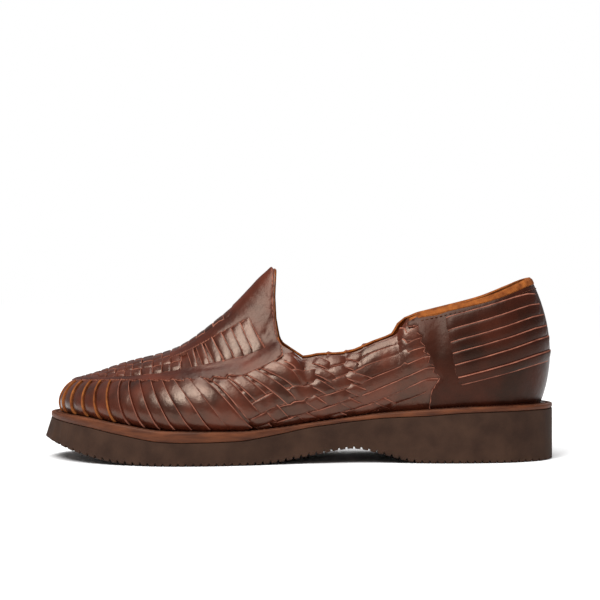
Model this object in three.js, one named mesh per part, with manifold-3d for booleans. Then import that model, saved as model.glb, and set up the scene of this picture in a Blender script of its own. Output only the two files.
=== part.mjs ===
// A woven leather slip-on shoe (huarache) for the left foot, standing empty on its sole.
// Millimetres, +Z up. The toe points along -X, the outer side of the foot is -Y and the inner side +Y.
// The origin is on the floor under the middle of the sole.
import * as THREE from "three";
import Module from "manifold-3d";
import { mergeVertices } from "three/addons/utils/BufferGeometryUtils.js";

const wasm = await Module();
wasm.setup();

// Driving sizes of the sole
const soleLength = 290.5;
const toeOverhang = 3.4;
const ballWidth = 104.5;
const heelSeatHeight = 32;
const forefootHeight = 18.4;
const toeRise = 8.4;
const toeSpring = 11.7;
const archRise = 8.3;
const midsoleThickness = 5.8;
const insoleThickness = 2.6;
const insoleInset = 1.8;
const grooveDepth = 1.1;
const groovePitch = 4.2;
const grooveWidth = 1.4;

// Driving sizes of the upper
const collarHeight = 71;
const tongueHeight = 86.6;
const weltMargin = 6.6;
const wallThickness = 1.5;
const stripThickness = 1.2;
const strapThickness = 1.5;
const counterThickness = 1.3;
const stripGap = 0.9;
const seamGap = 0.3;
const windowSize = 3.4;

// Directions across the shoe
const LATERAL = -1;
const MEDIAL = 1;
const SIDES = [LATERAL, MEDIAL];

// Sole outline, from the heel (station 0) to the toe (station 1). half and centre are shares of ballWidth.
const soleRows = [
  { station: 0.0, half: 0.0, centre: 0.0 },
  { station: 0.04, half: 0.232, centre: 0.0 },
  { station: 0.12, half: 0.33, centre: -0.004 },
  { station: 0.2, half: 0.349, centre: -0.008 },
  { station: 0.35, half: 0.326, centre: -0.024 },
  { station: 0.48, half: 0.343, centre: -0.04 },
  { station: 0.6, half: 0.416, centre: -0.043 },
  { station: 0.7, half: 0.483, centre: -0.024 },
  { station: 0.76, half: 0.5, centre: -0.008 },
  { station: 0.84, half: 0.468, centre: 0.012 },
  { station: 0.91, half: 0.388, centre: 0.029 },
  { station: 0.96, half: 0.278, centre: 0.043 },
  { station: 1.0, half: 0.0, centre: 0.052 },
];

// Side view of the sole. heel and toe lift the seat line, layer is the midsole's share of its thickness,
// spring and arch lift the tread off the floor.
const seatRows = [
  { station: 0.0, heel: 1.0, toe: 0.0, layer: 0.45, spring: 0.0, arch: 0.0 },
  { station: 0.186, heel: 0.92, toe: 0.0, layer: 0.5, spring: 0.0, arch: 0.0 },
  { station: 0.258, heel: 0.82, toe: 0.0, layer: 0.55, spring: 0.0, arch: 0.0 },
  { station: 0.293, heel: 0.77, toe: 0.0, layer: 0.5, spring: 0.0, arch: 0.14 },
  { station: 0.343, heel: 0.69, toe: 0.0, layer: 0.44, spring: 0.0, arch: 0.6 },
  { station: 0.4, heel: 0.54, toe: 0.0, layer: 0.38, spring: 0.0, arch: 1.0 },
  { station: 0.47, heel: 0.34, toe: 0.0, layer: 0.36, spring: 0.0, arch: 0.65 },
  { station: 0.557, heel: 0.1, toe: 0.0, layer: 0.62, spring: 0.0, arch: 0.13 },
  { station: 0.621, heel: 0.0, toe: 0.0, layer: 0.85, spring: 0.0, arch: 0.0 },
  { station: 0.751, heel: 0.0, toe: 0.06, layer: 1.0, spring: 0.0, arch: 0.0 },
  { station: 0.85, heel: 0.0, toe: 0.5, layer: 0.92, spring: 0.12, arch: 0.0 },
  { station: 0.921, heel: 0.0, toe: 0.85, layer: 0.8, spring: 0.44, arch: 0.0 },
  { station: 1.0, heel: 0.0, toe: 1.0, layer: 0.5, spring: 1.0, arch: 0.0 },
];

// The foot's wall, rib by rib round the sole. margin is a share of the full welt margin, inset and the two
// bulges are shares of ballWidth, and shoulder is how far up the rib the high bulge sits.
const ribRows = [
  { station: 0.0, margin: 1.0, inset: 0.054, low: 0.077, high: 0.072, shoulder: 0.63 },
  { station: 0.08, margin: 1.0, inset: 0.058, low: 0.06, high: 0.05, shoulder: 0.63 },
  { station: 0.131, margin: 0.95, inset: 0.065, low: 0.052, high: 0.03, shoulder: 0.65 },
  { station: 0.2, margin: 0.9, inset: 0.074, low: 0.05, high: 0.024, shoulder: 0.68 },
  { station: 0.3, margin: 0.85, inset: 0.07, low: 0.05, high: 0.03, shoulder: 0.7 },
  { station: 0.4, margin: 0.82, inset: 0.055, low: 0.056, high: 0.034, shoulder: 0.72 },
  { station: 0.5, margin: 0.85, inset: 0.055, low: 0.066, high: 0.034, shoulder: 0.75 },
  { station: 0.56, margin: 0.9, inset: 0.084, low: 0.076, high: 0.012, shoulder: 0.8 },
  { station: 0.66, margin: 0.95, inset: 0.108, low: 0.086, high: -0.012, shoulder: 0.84 },
  { station: 0.78, margin: 1.0, inset: 0.134, low: 0.088, high: -0.024, shoulder: 0.86 },
  { station: 0.87, margin: 1.0, inset: 0.134, low: 0.08, high: -0.03, shoulder: 0.86 },
  { station: 0.92, margin: 1.0, inset: 0.11, low: 0.072, high: -0.018, shoulder: 0.85 },
  { station: 1.0, margin: 1.0, inset: 0.05, low: 0.058, high: 0.0, shoulder: 0.84 },
];

// Height of the collar above the heel seat, as a share of collarHeight, with the counter's step at 0.3
const collarRows = [
  { reach: 0.03, rise: 1.01 },
  { reach: 0.053, rise: 1.0 },
  { reach: 0.08, rise: 0.949 },
  { reach: 0.131, rise: 0.856 },
  { reach: 0.166, rise: 0.812 },
  { reach: 0.229, rise: 0.744 },
  { reach: 0.28, rise: 0.688 },
  { reach: 0.297, rise: 0.658 },
  { reach: 0.307, rise: 0.563 },
  { reach: 0.354, rise: 0.479 },
  { reach: 0.401, rise: 0.398 },
  { reach: 0.425, rise: 0.382 },
  { reach: 0.462, rise: 0.377 },
  { reach: 0.496, rise: 0.352 },
  { reach: 0.524, rise: 0.465 },
];

// Height of the side strap and of the ridge above the forefoot, as shares of tongueHeight
const strapRows = [
  { reach: 0.524, rise: 0.538 },
  { reach: 0.535, rise: 0.532 },
  { reach: 0.57, rise: 0.476 },
  { reach: 0.618, rise: 0.411 },
  { reach: 0.675, rise: 0.372 },
  { reach: 0.734, rise: 0.339 },
  { reach: 0.781, rise: 0.314 },
  { reach: 0.87, rise: 0.292 },
  { reach: 0.92, rise: 0.286 },
  { reach: 0.949, rise: 0.276 },
];
const ridgeRows = [
  { reach: 0.5, rise: 1.2 },
  { reach: 0.561, rise: 1.0 },
  { reach: 0.576, rise: 0.955 },
  { reach: 0.593, rise: 0.893 },
  { reach: 0.628, rise: 0.772 },
  { reach: 0.662, rise: 0.677 },
  { reach: 0.696, rise: 0.587 },
  { reach: 0.727, rise: 0.516 },
  { reach: 0.753, rise: 0.472 },
  { reach: 0.791, rise: 0.432 },
  { reach: 0.824, rise: 0.406 },
  { reach: 0.862, rise: 0.37 },
  { reach: 0.9, rise: 0.325 },
  { reach: 0.949, rise: 0.276 },
];

// Shape of the instep's half section: crown is how flat its top is, run and lift place its shoulder
const instepRows = [
  { reach: 0.52, crown: 0.14, run: 0.34, lift: 0.06 },
  { reach: 0.561, crown: 0.18, run: 0.34, lift: 0.1 },
  { reach: 0.6, crown: 0.26, run: 0.34, lift: 0.25 },
  { reach: 0.66, crown: 0.42, run: 0.34, lift: 0.45 },
  { reach: 0.75, crown: 0.52, run: 0.34, lift: 0.52 },
  { reach: 0.949, crown: 0.56, run: 0.34, lift: 0.6 },
];

// The chart is the upper's flat pattern: along it runs round the sole from heel to toe, across it runs from
// the ridge (0) over the side strap line to the feather edge, negative on the outer side
const chartPerRadian = soleLength * 0.36;
const chartEnd = Math.PI * chartPerRadian;
const crownGirth = ballWidth * 0.31;
const wallGirth = collarHeight * 0.56;
const featherLine = crownGirth + wallGirth;
const fullMargin = weltMargin + wallThickness + stripThickness + seamGap;
const heelEnd = (soleLength + toeOverhang) / 2;
const outerSkin = wallThickness + stripThickness;

// One column of a table as a function of another, on a monotone cubic through the rows
function curve(rows, key, name) {
  const x = rows.map((row) => row[key]);
  const y = rows.map((row) => row[name]);
  const last = x.length - 1;
  const slope = (k) => (y[k + 1] - y[k]) / (x[k + 1] - x[k]);
  const tangents = x.map((_, k) => {
    if (k === 0) return slope(0);
    if (k === last) return slope(last - 1);
    const [before, after] = [slope(k - 1), slope(k)];
    return before * after <= 0 ? 0 : (2 * before * after) / (before + after);
  });
  return (place) => {
    const at = Math.min(Math.max(place, x[0]), x[last]);
    let i = 0;
    while (i < last - 1 && at > x[i + 1]) i += 1;
    const width = x[i + 1] - x[i];
    const u = (at - x[i]) / width;
    const v = 1 - u;
    return (
      y[i] * v * v * (1 + 2 * u) +
      y[i + 1] * u * u * (3 - 2 * u) +
      tangents[i] * width * u * v * v -
      tangents[i + 1] * width * u * u * v
    );
  };
}

const bezier = (a, b, c, d, t) => {
  const r = 1 - t;
  return a * r * r * r + 3 * b * r * r * t + 3 * c * r * t * t + d * t * t * t;
};
const mix = (a, b, t) => a + (b - a) * t;
const stationOf = (phi) => (1 - Math.cos(phi)) / 2;
const phiOf = (station) => Math.acos(1 - 2 * Math.min(Math.max(station, 0), 1));
const reachOf = (x) => (heelEnd - x) / soleLength;

const soleTurns = soleRows.map((row) => ({ ...row, turn: phiOf(row.station) }));
const soleHalf = curve(soleTurns, "turn", "half");
const soleCentre = curve(soleRows, "station", "centre");
const seatHeel = curve(seatRows, "station", "heel");
const seatToe = curve(seatRows, "station", "toe");
const seatLayer = curve(seatRows, "station", "layer");
const treadSpring = curve(seatRows, "station", "spring");
const treadArch = curve(seatRows, "station", "arch");
const ribMargin = curve(ribRows, "station", "margin");
const ribInset = curve(ribRows, "station", "inset");
const ribLow = curve(ribRows, "station", "low");
const ribHigh = curve(ribRows, "station", "high");
const ribShoulder = curve(ribRows, "station", "shoulder");
const collarRise = curve(collarRows, "reach", "rise");
const strapRise = curve(strapRows, "reach", "rise");
const ridgeRise = curve(ridgeRows, "reach", "rise");
const instepCrown = curve(instepRows, "reach", "crown");
const instepRun = curve(instepRows, "reach", "run");
const instepLift = curve(instepRows, "reach", "lift");

// Sole

const seatZ = (x) => {
  const heel = seatHeel(reachOf(x)) * (heelSeatHeight - forefootHeight);
  return forefootHeight + heel + seatToe(reachOf(x)) * toeRise;
};
const midsoleBaseZ = (x) => seatZ(x) - seatLayer(reachOf(x)) * midsoleThickness;
const treadZ = (x) => treadSpring(reachOf(x)) * toeSpring + treadArch(reachOf(x)) * archRise;

// Half width of the sole; past either end the outline carries on round the other side
function outline(phi, side) {
  if (phi < 0) return outline(-phi, -side);
  if (phi > Math.PI) return outline(2 * Math.PI - phi, -side);
  const station = stationOf(phi);
  const half = soleHalf(phi) * ballWidth;
  const centre = soleCentre(station) * ballWidth;
  return [heelEnd - station * soleLength, centre + side * half];
}

const outlineStep = 0.02;
function outward(phi, side) {
  const [x0, y0] = outline(phi - outlineStep, side);
  const [x1, y1] = outline(phi + outlineStep, side);
  const length = Math.hypot(x1 - x0, y1 - y0);
  return [(side * (y1 - y0)) / length, (-side * (x1 - x0)) / length];
}

// The last: ribs from the feather edge to the collar or side strap

const collarFront = 0.524;
function topZ(x) {
  const reach = reachOf(x);
  return reach < collarFront
    ? heelSeatHeight + collarRise(reach) * collarHeight
    : forefootHeight + strapRise(reach) * tongueHeight;
}
const ridgeZ = (x) => forefootHeight + ridgeRise(reachOf(x)) * tongueHeight;

function rib(phi, side) {
  const station = stationOf(phi);
  const [nx, ny] = outward(phi, side);
  const [ox, oy] = outline(phi, side);
  const margin = ribMargin(station) * fullMargin;
  const foot = [ox - nx * margin, oy - ny * margin];
  const inset = ribInset(station) * ballWidth;
  const top = [foot[0] - nx * inset, foot[1] - ny * inset];
  const rim = foot[0] + nx * outerSkin;
  const footZ = Math.max(seatZ(foot[0]), seatZ(rim)) + seamGap;
  return {
    nx,
    ny,
    foot,
    footZ,
    top,
    topZ: topZ(top[0]),
    inset,
    low: ribLow(station) * ballWidth,
    high: ribHigh(station) * ballWidth,
    shoulder: ribShoulder(station),
  };
}

const lowShare = 0.3;
function wallPoint(phi, side, t) {
  const r = rib(phi, side);
  const height = r.topZ - r.footZ;
  const out = bezier(0, r.low, r.high, -r.inset, t);
  const z = r.footZ + bezier(0, lowShare * height, r.shoulder * height, height, t);
  return [r.foot[0] + r.nx * out, r.foot[1] + r.ny * out, z];
}

function instepPoint(phi, side, q) {
  const near = rib(phi, side);
  const far = rib(phi, -side);
  const ridge = [(near.top[0] + far.top[0]) / 2, (near.top[1] + far.top[1]) / 2];
  const crest = ridgeZ(ridge[0]);
  const run = instepRun(reachOf(ridge[0]));
  const crown = instepCrown(reachOf(ridge[0]));
  const lift = instepLift(reachOf(ridge[0]));
  const t = 1 - q;
  const plan = (i) =>
    bezier(
      near.top[i],
      mix(near.top[i], ridge[i], run),
      mix(ridge[i], near.top[i], crown),
      ridge[i],
      t,
    );
  const z = bezier(near.topZ, mix(near.topZ, crest, lift), crest, crest, t);
  return [plan(0), plan(1), z];
}

// Point of the last at a place on the chart; past the toe or heel the chart carries on round the other side
function lastPoint(along, across) {
  if (along < 0) return lastPoint(-along, -across);
  if (along > chartEnd) return lastPoint(2 * chartEnd - along, -across);
  const phi = along / chartPerRadian;
  const side = across < 0 ? LATERAL : MEDIAL;
  const girth = Math.abs(across);
  return girth >= crownGirth
    ? wallPoint(phi, side, (featherLine - girth) / wallGirth)
    : instepPoint(phi, side, girth / crownGirth);
}

const chartStep = 1.5;
const collarTurn = 0.51 * chartEnd;
function lastNormal(along, across) {
  const girth = Math.abs(across);
  const side = across < 0 ? LATERAL : MEDIAL;
  const inner = along < collarTurn ? crownGirth : -crownGirth;
  const a0 = girth > inner + chartStep ? girth - chartStep : girth;
  const a1 = girth < featherLine - chartStep ? girth + chartStep : girth;
  const u0 = new THREE.Vector3(...lastPoint(along - chartStep, across));
  const u1 = new THREE.Vector3(...lastPoint(along + chartStep, across));
  const v0 = new THREE.Vector3(...lastPoint(along, side * a0));
  const v1 = new THREE.Vector3(...lastPoint(along, side * a1));
  const normal = v1.sub(v0).cross(u1.sub(u0)).multiplyScalar(side).normalize();
  const rise = (featherLine - girth) / wallGirth;
  const level = 0.2;
  if (rise < level && normal.z < 0) normal.z *= rise / level;
  return normal.normalize();
}

// Flat pieces on the chart, bent over the last

function asManifold(geometry) {
  const bare = geometry.clone();
  bare.deleteAttribute("normal");
  bare.deleteAttribute("uv");
  const merged = mergeVertices(bare, 1e-4);
  return new wasm.Manifold(
    new wasm.Mesh({
      numProp: 3,
      vertProperties: merged.getAttribute("position").array,
      triVerts: new Uint32Array(merged.index.array),
    }),
  );
}

// A flat piece cut from the chart: points are [along, across], and it lies between two heights off the last
function flatPiece(points, low, high) {
  const ring = points.map(([a, b]) => new THREE.Vector2(a, b));
  if (THREE.ShapeUtils.isClockWise(ring)) ring.reverse();
  const solid = new THREE.ExtrudeGeometry(new THREE.Shape(ring), {
    depth: high - low,
    bevelEnabled: false,
  });
  solid.translate(0, 0, low);
  return asManifold(solid);
}

const bendTolerance = 0.6;
const slideShare = 0.03;
const longestEdge = 40;
const shortestEdge = 7;
const bendPasses = 2;
const creaseSlip = 0.01;
const spotSize = 0.03;
const girthLines = [crownGirth * 0.5, crownGirth - creaseSlip, crownGirth + wallGirth * 0.5];
const acrossLines = [...girthLines.map((line) => -line).reverse(), 0, ...girthLines];
const alongLines = Array.from({ length: 17 }, (_, i) => ((i + 1) * chartEnd) / 18);

function bentPoint([along, across, height]) {
  const normal = lastNormal(along, across);
  return new THREE.Vector3(...lastPoint(along, across)).addScaledVector(normal, height);
}

// Flat solids on either side of a plane across one axis, in steps from the lowest level to the highest
function slices(flat, axis, levels) {
  const normal = [0, 1, 2].map((i) => (i === axis ? 1 : 0));
  const parts = [];
  let rest = flat;
  for (const level of levels) {
    const [above, below] = rest.splitByPlane(normal, level);
    parts.push(below);
    rest = above;
  }
  return [...parts, rest].filter((part) => !part.isEmpty());
}

// A flat piece cut into tiles, and its edges cut again until it bends over the last closely enough
function scored(flat) {
  const corners = [];
  const tileFaces = [];
  const seam = (spot, axis, levels) => levels.find((level) => Math.abs(spot[axis] - level) < 1e-4);
  for (const tile of slices(flat, 0, alongLines).flatMap((slice) => slices(slice, 1, acrossLines))) {
    const mesh = tile.getMesh();
    const own = [];
    for (let i = 0; i < mesh.vertProperties.length; i += mesh.numProp) {
      own.push([...mesh.vertProperties.slice(i, i + 3)]);
    }
    for (let i = 0; i < mesh.triVerts.length; i += 3) {
      const face = [0, 1, 2].map((k) => own[mesh.triVerts[i + k]]);
      const inSeam = [alongLines, acrossLines].some((levels, axis) => {
        const level = seam(face[0], axis, levels);
        return level !== undefined && face.every((spot) => Math.abs(spot[axis] - level) < 1e-4);
      });
      if (!inSeam) tileFaces.push(face.map((spot) => corners.push(spot) - 1));
    }
  }
  const { spots, faces: wholeFaces } = mergeSpots(corners, tileFaces);
  let faces = wholeFaces;
  const bent = [];
  const place = (i) => (bent[i] ??= bentPoint(spots[i]));
  const needsCut = (a, b) => {
    const [from, to] = [spots[a], spots[b]];
    const span = Math.hypot(to[0] - from[0], to[1] - from[1]);
    if (span > longestEdge || span < shortestEdge) return span > longestEdge;
    const [along, across, height] = from.map((value, i) => mix(value, to[i], 0.5));
    const normal = lastNormal(along, across);
    const gap = new THREE.Vector3(...lastPoint(along, across)).addScaledVector(normal, height);
    gap.sub(place(a).clone().lerp(place(b), 0.5));
    return Math.abs(gap.dot(normal)) + gap.length() * slideShare > bendTolerance;
  };
  for (let pass = 0; pass < bendPasses; pass += 1) {
    faces = cutEdges(faces, spots, (a, b) => (needsCut(a, b) ? 0.5 : 0)).faces;
  }
  return { spots: spots, faces: faces.filter((face) => !face.every((i) => isChartEnd(spots[i]))) };
}

// Joins points of neighbouring tiles, drawing those beside the crease on to it
function mergeSpots(spots, faces) {
  const index = new Map();
  const merged = [];
  const ids = spots.map(([along, across, height]) => {
    const side = Math.sign(across);
    const nearCrease = Math.abs(Math.abs(across) - crownGirth) < 2 * creaseSlip;
    const spot = [along, nearCrease ? side * crownGirth : across, height];
    const key = spot.map((value) => Math.round(value / spotSize)).join();
    if (!index.has(key)) index.set(key, merged.push(spot) - 1);
    return index.get(key);
  });
  const kept = faces
    .map((face) => face.map((i) => ids[i]))
    .filter(([a, b, c]) => a !== b && b !== c && c !== a);
  return { spots: merged, faces: closeSeams(merged, kept) };
}

const edgeKey = (a, b) => (a < b ? `${a}_${b}` : `${b}_${a}`);

// Gives tiles that meet the same points along their seam
function closeSeams(spots, faces) {
  const uses = new Map();
  for (const face of faces) {
    face.forEach((a, i) => {
      const key = edgeKey(a, face[(i + 1) % 3]);
      uses.set(key, (uses.get(key) ?? 0) + 1);
    });
  }
  const open = [...uses].filter(([, count]) => count === 1).map(([key]) => key.split("_").map(Number));
  const loose = [...new Set(open.flat())];
  const middles = new Map();
  for (const [a, b] of open) {
    const line = spots[b].map((value, i) => value - spots[a][i]);
    const length = Math.hypot(...line);
    const between = loose.find((i) => {
      const step = spots[i].map((value, k) => value - spots[a][k]);
      const share = step.reduce((sum, value, k) => sum + value * line[k], 0) / length ** 2;
      const off = Math.hypot(...step.map((value, k) => value - line[k] * share));
      return i !== a && i !== b && share > 0 && share < 1 && off < spotSize / 2;
    });
    if (between !== undefined) middles.set(edgeKey(a, b), between);
  }
  if (middles.size === 0) return faces;
  const split = faces.flatMap((face) => splitFace(face, (a, b) => middles.get(edgeKey(a, b)), spots));
  return closeSeams(spots, split.filter(([a, b, c]) => a !== b && b !== c && c !== a));
}

// A scored piece bent over the last, with its outside lifted and its inside sunk by a clearance
function bendOverLast({ spots, faces }, clearance = 0) {
  const height = (h) => (h > 0 ? h + clearance : h - clearance);
  const points = spots.map(([along, across, h]) => bentPoint([along, across, height(h)]).toArray());
  return solidFrom(points, faces.map(([a, b, c]) => [a, c, b]));
}

// Cuts every edge at the share of its length that where(a, b) gives, zero for none
function cutEdges(faces, spots, where) {
  const middles = new Map();
  const key = edgeKey;
  for (const face of faces) {
    for (let i = 0; i < 3; i += 1) {
      const [a, b] = [face[i], face[(i + 1) % 3]];
      if (middles.has(key(a, b))) continue;
      const share = where(a, b);
      middles.set(key(a, b), share > 0 ? spots.length : undefined);
      if (share > 0) spots.push(spots[a].map((value, k) => mix(value, spots[b][k], share)));
    }
  }
  const cuts = [...middles.values()].filter((middle) => middle !== undefined).length;
  return { cuts, faces: faces.flatMap((face) => splitFace(face, (a, b) => middles.get(key(a, b)), spots)) };
}

const isChartEnd = (spot) => spot[0] < 1e-3 || spot[0] > chartEnd - 1e-3;

// Splits a triangle at those of its edges that have a middle point
function splitFace([a, b, c], middle, spots) {
  const [ab, bc, ca] = [middle(a, b), middle(b, c), middle(c, a)];
  const count = [ab, bc, ca].filter((m) => m !== undefined).length;
  if (count === 0) return [[a, b, c]];
  if (count === 3) {
    return [
      [a, ab, ca],
      [ab, b, bc],
      [ca, bc, c],
      [ab, bc, ca],
    ];
  }
  if (ab === undefined) return splitFace([b, c, a], middle, spots);
  if (count === 1) {
    return [
      [a, ab, c],
      [ab, b, c],
    ];
  }
  if (bc === undefined) return splitFace([c, a, b], middle, spots);
  const span = (i, j) => Math.hypot(spots[i][0] - spots[j][0], spots[i][1] - spots[j][1]);
  return span(a, bc) < span(ab, c)
    ? [
        [ab, b, bc],
        [a, ab, bc],
        [a, bc, c],
      ]
    : [
        [ab, b, bc],
        [a, ab, c],
        [ab, bc, c],
      ];
}

// A closed geometry from points and triangles, with shared points merged and empty triangles left out
function solidFrom(points, faces) {
  const geometry = new THREE.BufferGeometry();
  geometry.setAttribute("position", new THREE.Float32BufferAttribute(points.flat(), 3));
  geometry.setIndex(faces.flat());
  const merged = mergeVertices(geometry, 2e-3);
  const index = merged.index.array;
  const kept = [];
  for (let i = 0; i < index.length; i += 3) {
    const [a, b, c] = [index[i], index[i + 1], index[i + 2]];
    if (a !== b && b !== c && c !== a) kept.push(a, b, c);
  }
  merged.setIndex(kept);
  return merged;
}

// Layers of the sole

// A layer between two height lines, made of sections across the sole. edge gives a section's two ends.
function layer(turns, edge, lowZ, highZ) {
  const points = [];
  for (const phi of turns) {
    for (const [height, level] of [
      [lowZ, 0],
      [highZ, 1],
    ]) {
      for (const side of SIDES) {
        const [x, y] = edge(phi, side, level);
        points.push([x, y, height(x)]);
      }
    }
  }
  const faces = [];
  const quad = (a, b, c, d) => faces.push([a, b, c], [a, c, d]);
  for (let i = 0; i + 1 < turns.length; i += 1) {
    const [lowLat, lowMed, highLat, highMed] = [0, 1, 2, 3].map((k) => 4 * i + k);
    const [nextLowLat, nextLowMed, nextHighLat, nextHighMed] = [4, 5, 6, 7].map((k) => 4 * i + k);
    quad(highLat, highMed, nextHighMed, nextHighLat);
    quad(lowLat, nextLowLat, nextLowMed, lowMed);
    quad(lowLat, highLat, nextHighLat, nextLowLat);
    quad(lowMed, nextLowMed, nextHighMed, highMed);
  }
  return solidFrom(points, faces);
}

const evenTurns = (count) => Array.from({ length: count + 1 }, (_, i) => (Math.PI * i) / count);

function outsole() {
  const count = Math.floor(soleLength / groovePitch) - 1;
  const stations = [];
  const first = (soleLength - count * groovePitch) / 2;
  for (let i = 0; i <= count; i += 1) {
    const middle = first + i * groovePitch;
    for (const offset of [-0.5, 0, 0.5]) {
      stations.push({ at: middle + offset * grooveWidth, cut: offset === 0 ? grooveDepth : 0 });
    }
  }
  const turns = [0, 0.04, 0.09, ...stations.map(({ at }) => phiOf(at / soleLength)), Math.PI];
  const cuts = [0, 0, 0, ...stations.map(({ cut }) => cut), 0];
  const flareFrom = 0.8;
  const edge = (phi, side, level) => {
    const [x, y] = outline(phi, side);
    const flare = Math.max(0, (stationOf(phi) - flareFrom) / (1 - flareFrom)) ** 2;
    return level === 1 ? [x, y] : [x - toeOverhang * flare, y];
  };
  const cutAt = new Map(turns.map((phi, i) => [edge(phi, LATERAL, 0)[0].toFixed(4), cuts[i]]));
  const lowZ = (x) => treadZ(x) + (cutAt.get(x.toFixed(4)) ?? 0);
  return layer(turns.filter((phi, i) => i === 0 || phi > turns[i - 1]), edge, lowZ, (x) => midsoleBaseZ(x) - seamGap);
}

const midsole = () => layer(evenTurns(56), (phi, side) => outline(phi, side), midsoleBaseZ, seatZ);

function insole() {
  const edge = (phi, side) => {
    const { nx, ny, foot } = rib(phi, side);
    return [foot[0] - nx * insoleInset, foot[1] - ny * insoleInset];
  };
  return layer(evenTurns(44), edge, (x) => seatZ(x) + seamGap, (x) => seatZ(x) + seamGap + insoleThickness);
}

// Pieces of the upper. Places on the chart are given as a turn, the share of the way round from heel to toe,
// with a rise up the wall from the feather edge (0) to the collar or strap line (1), or with a spread out
// from the ridge (0) to the strap line (1).

const onWall = (side, turn, rise) => [turn * chartEnd, side * (featherLine - rise * wallGirth)];
const onInstep = (side, turn, spread) => [turn * chartEnd, side * spread * crownGirth];

// Throat edge from the corner of the collar to the tip of the tongue
const throatRows = [
  { spread: 1.0, turn: 0.516 },
  { spread: 0.8, turn: 0.524 },
  { spread: 0.55, turn: 0.53 },
  { spread: 0.3, turn: 0.532 },
  { spread: 0.0, turn: 0.532 },
];
const collarTurns = [0.12, 0.2, 0.28, 0.357, 0.365, 0.373, 0.39, 0.43, 0.47, 0.498];

// Side strips, toe to waist: turn of each edge at the strap, and how far the strip leans back to the feather
const sideStripTurns = [
  1, 0.967, 0.935, 0.896, 0.86, 0.83, 0.803, 0.779, 0.756, 0.734, 0.713, 0.691, 0.668, 0.645, 0.624, 0.604,
  0.585, 0.568,
];
const waistStripTurns = [0.568, 0.551, 0.535, 0.519, 0.502, 0.485, 0.467, 0.449, 0.431];
const leanRows = [
  { turn: 0.43, lean: 0.17 },
  { turn: 0.52, lean: 0.14 },
  { turn: 0.57, lean: 0.1 },
  { turn: 0.6, lean: 0.08 },
  { turn: 0.65, lean: 0.063 },
  { turn: 0.73, lean: 0.055 },
  { turn: 0.83, lean: 0.045 },
  { turn: 0.94, lean: 0.026 },
  { turn: 1.0, lean: 0.0 },
];
const leanAt = curve(leanRows, "turn", "lean");

// Side strap of the tongue piece: how far it comes down the wall, and how far up the instep
const sideStrapRows = [
  { turn: 0.5, drop: 0.22, reach: 0.1 },
  { turn: 0.6, drop: 0.2, reach: 0.09 },
  { turn: 0.65, drop: 0.17, reach: 0.08 },
  { turn: 0.7, drop: 0.12, reach: 0.07 },
  { turn: 0.8, drop: 0.08, reach: 0.06 },
  { turn: 1.0, drop: 0.07, reach: 0.06 },
];
const strapDrop = curve(sideStrapRows, "turn", "drop");
const strapReach = curve(sideStrapRows, "turn", "reach");

// Edges of the waist strips, top to bottom, as they run from the counter forward and down into the weave
const waistEdges = [
  { counter: 0.88, back: 0.96, middle: 0.96, front: 0.84, weave: 0.375 },
  { counter: 0.75, back: 0.84, middle: 0.78, front: 0.66, weave: 0.405 },
  { counter: 0.65, back: 0.72, middle: 0.6, front: 0.46, weave: 0.425 },
  { counter: 0.555, back: 0.54, middle: 0.42, front: 0.28, weave: 0.41 },
  { counter: 0.44, back: 0.38, middle: 0.25, front: 0.1, weave: 0.395 },
  { counter: 0.33, back: 0.23, middle: 0.08, front: -0.05, weave: 0.385 },
  { counter: 0.2, back: 0.08, middle: -0.08, front: -0.2, weave: 0.38 },
];
const waistTurns = { counter: 0.34, back: 0.395, middle: 0.462, front: 0.526 };

// Front edge of the counter, from its tab at the collar down to the feather
const counterFront = [
  { turn: 0.352, rise: 0.97 },
  { turn: 0.366, rise: 0.93 },
  { turn: 0.362, rise: 0.89 },
  { turn: 0.352, rise: 0.87 },
  { turn: 0.346, rise: 0.75 },
  { turn: 0.343, rise: 0.65 },
  { turn: 0.335, rise: 0.56 },
  { turn: 0.33, rise: 0.44 },
  { turn: 0.322, rise: 0.34 },
  { turn: 0.334, rise: 0.2 },
  { turn: 0.337, rise: 0.03 },
];
const counterTop = 0.96;

// Heel strips, top to bottom: rise of each edge at the front slit and at the back tip
const heelEdges = [
  { slit: 0.883, tip: 0.88, start: 0.312, end: 0.066 },
  { slit: 0.76, tip: 0.805, start: 0.309, end: 0.062 },
  { slit: 0.645, tip: 0.724, start: 0.306, end: 0.059 },
  { slit: 0.54, tip: 0.642, start: 0.303, end: 0.056 },
  { slit: 0.43, tip: 0.56, start: 0.3, end: 0.053 },
  { slit: 0.31, tip: 0.45, start: 0.297, end: 0.05 },
  { slit: 0.235, tip: 0.37, start: 0.29, end: 0.047 },
];
const heelBow = 0.03;

// Ladder strips between the centre and side straps, and the windows in front of them
const ladderRows = [
  { top: 0.564, foot: 0.54 },
  { top: 0.575, foot: 0.553 },
  { top: 0.586, foot: 0.565 },
  { top: 0.597, foot: 0.578 },
  { top: 0.608, foot: 0.592 },
];
const windowTurns = [0.6195, 0.6335, 0.6475];
const ladderHalf = 0.0045;
const ladderBand = { inner: 0.5, outer: 0.88 };
const centreStrap = { inner: 0.26, outer: 0.48, split: 0.572, end: 0.672 };
const spineTurns = [0.583, 0.597, 0.611, 0.625, 0.639, 0.653];
const toeLanes = [0.9, 0.55, 0.18];
const toeTurns = [0.668, 0.694, 0.72, 0.746, 0.772, 0.8, 0.83, 0.865, 0.91];

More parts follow.
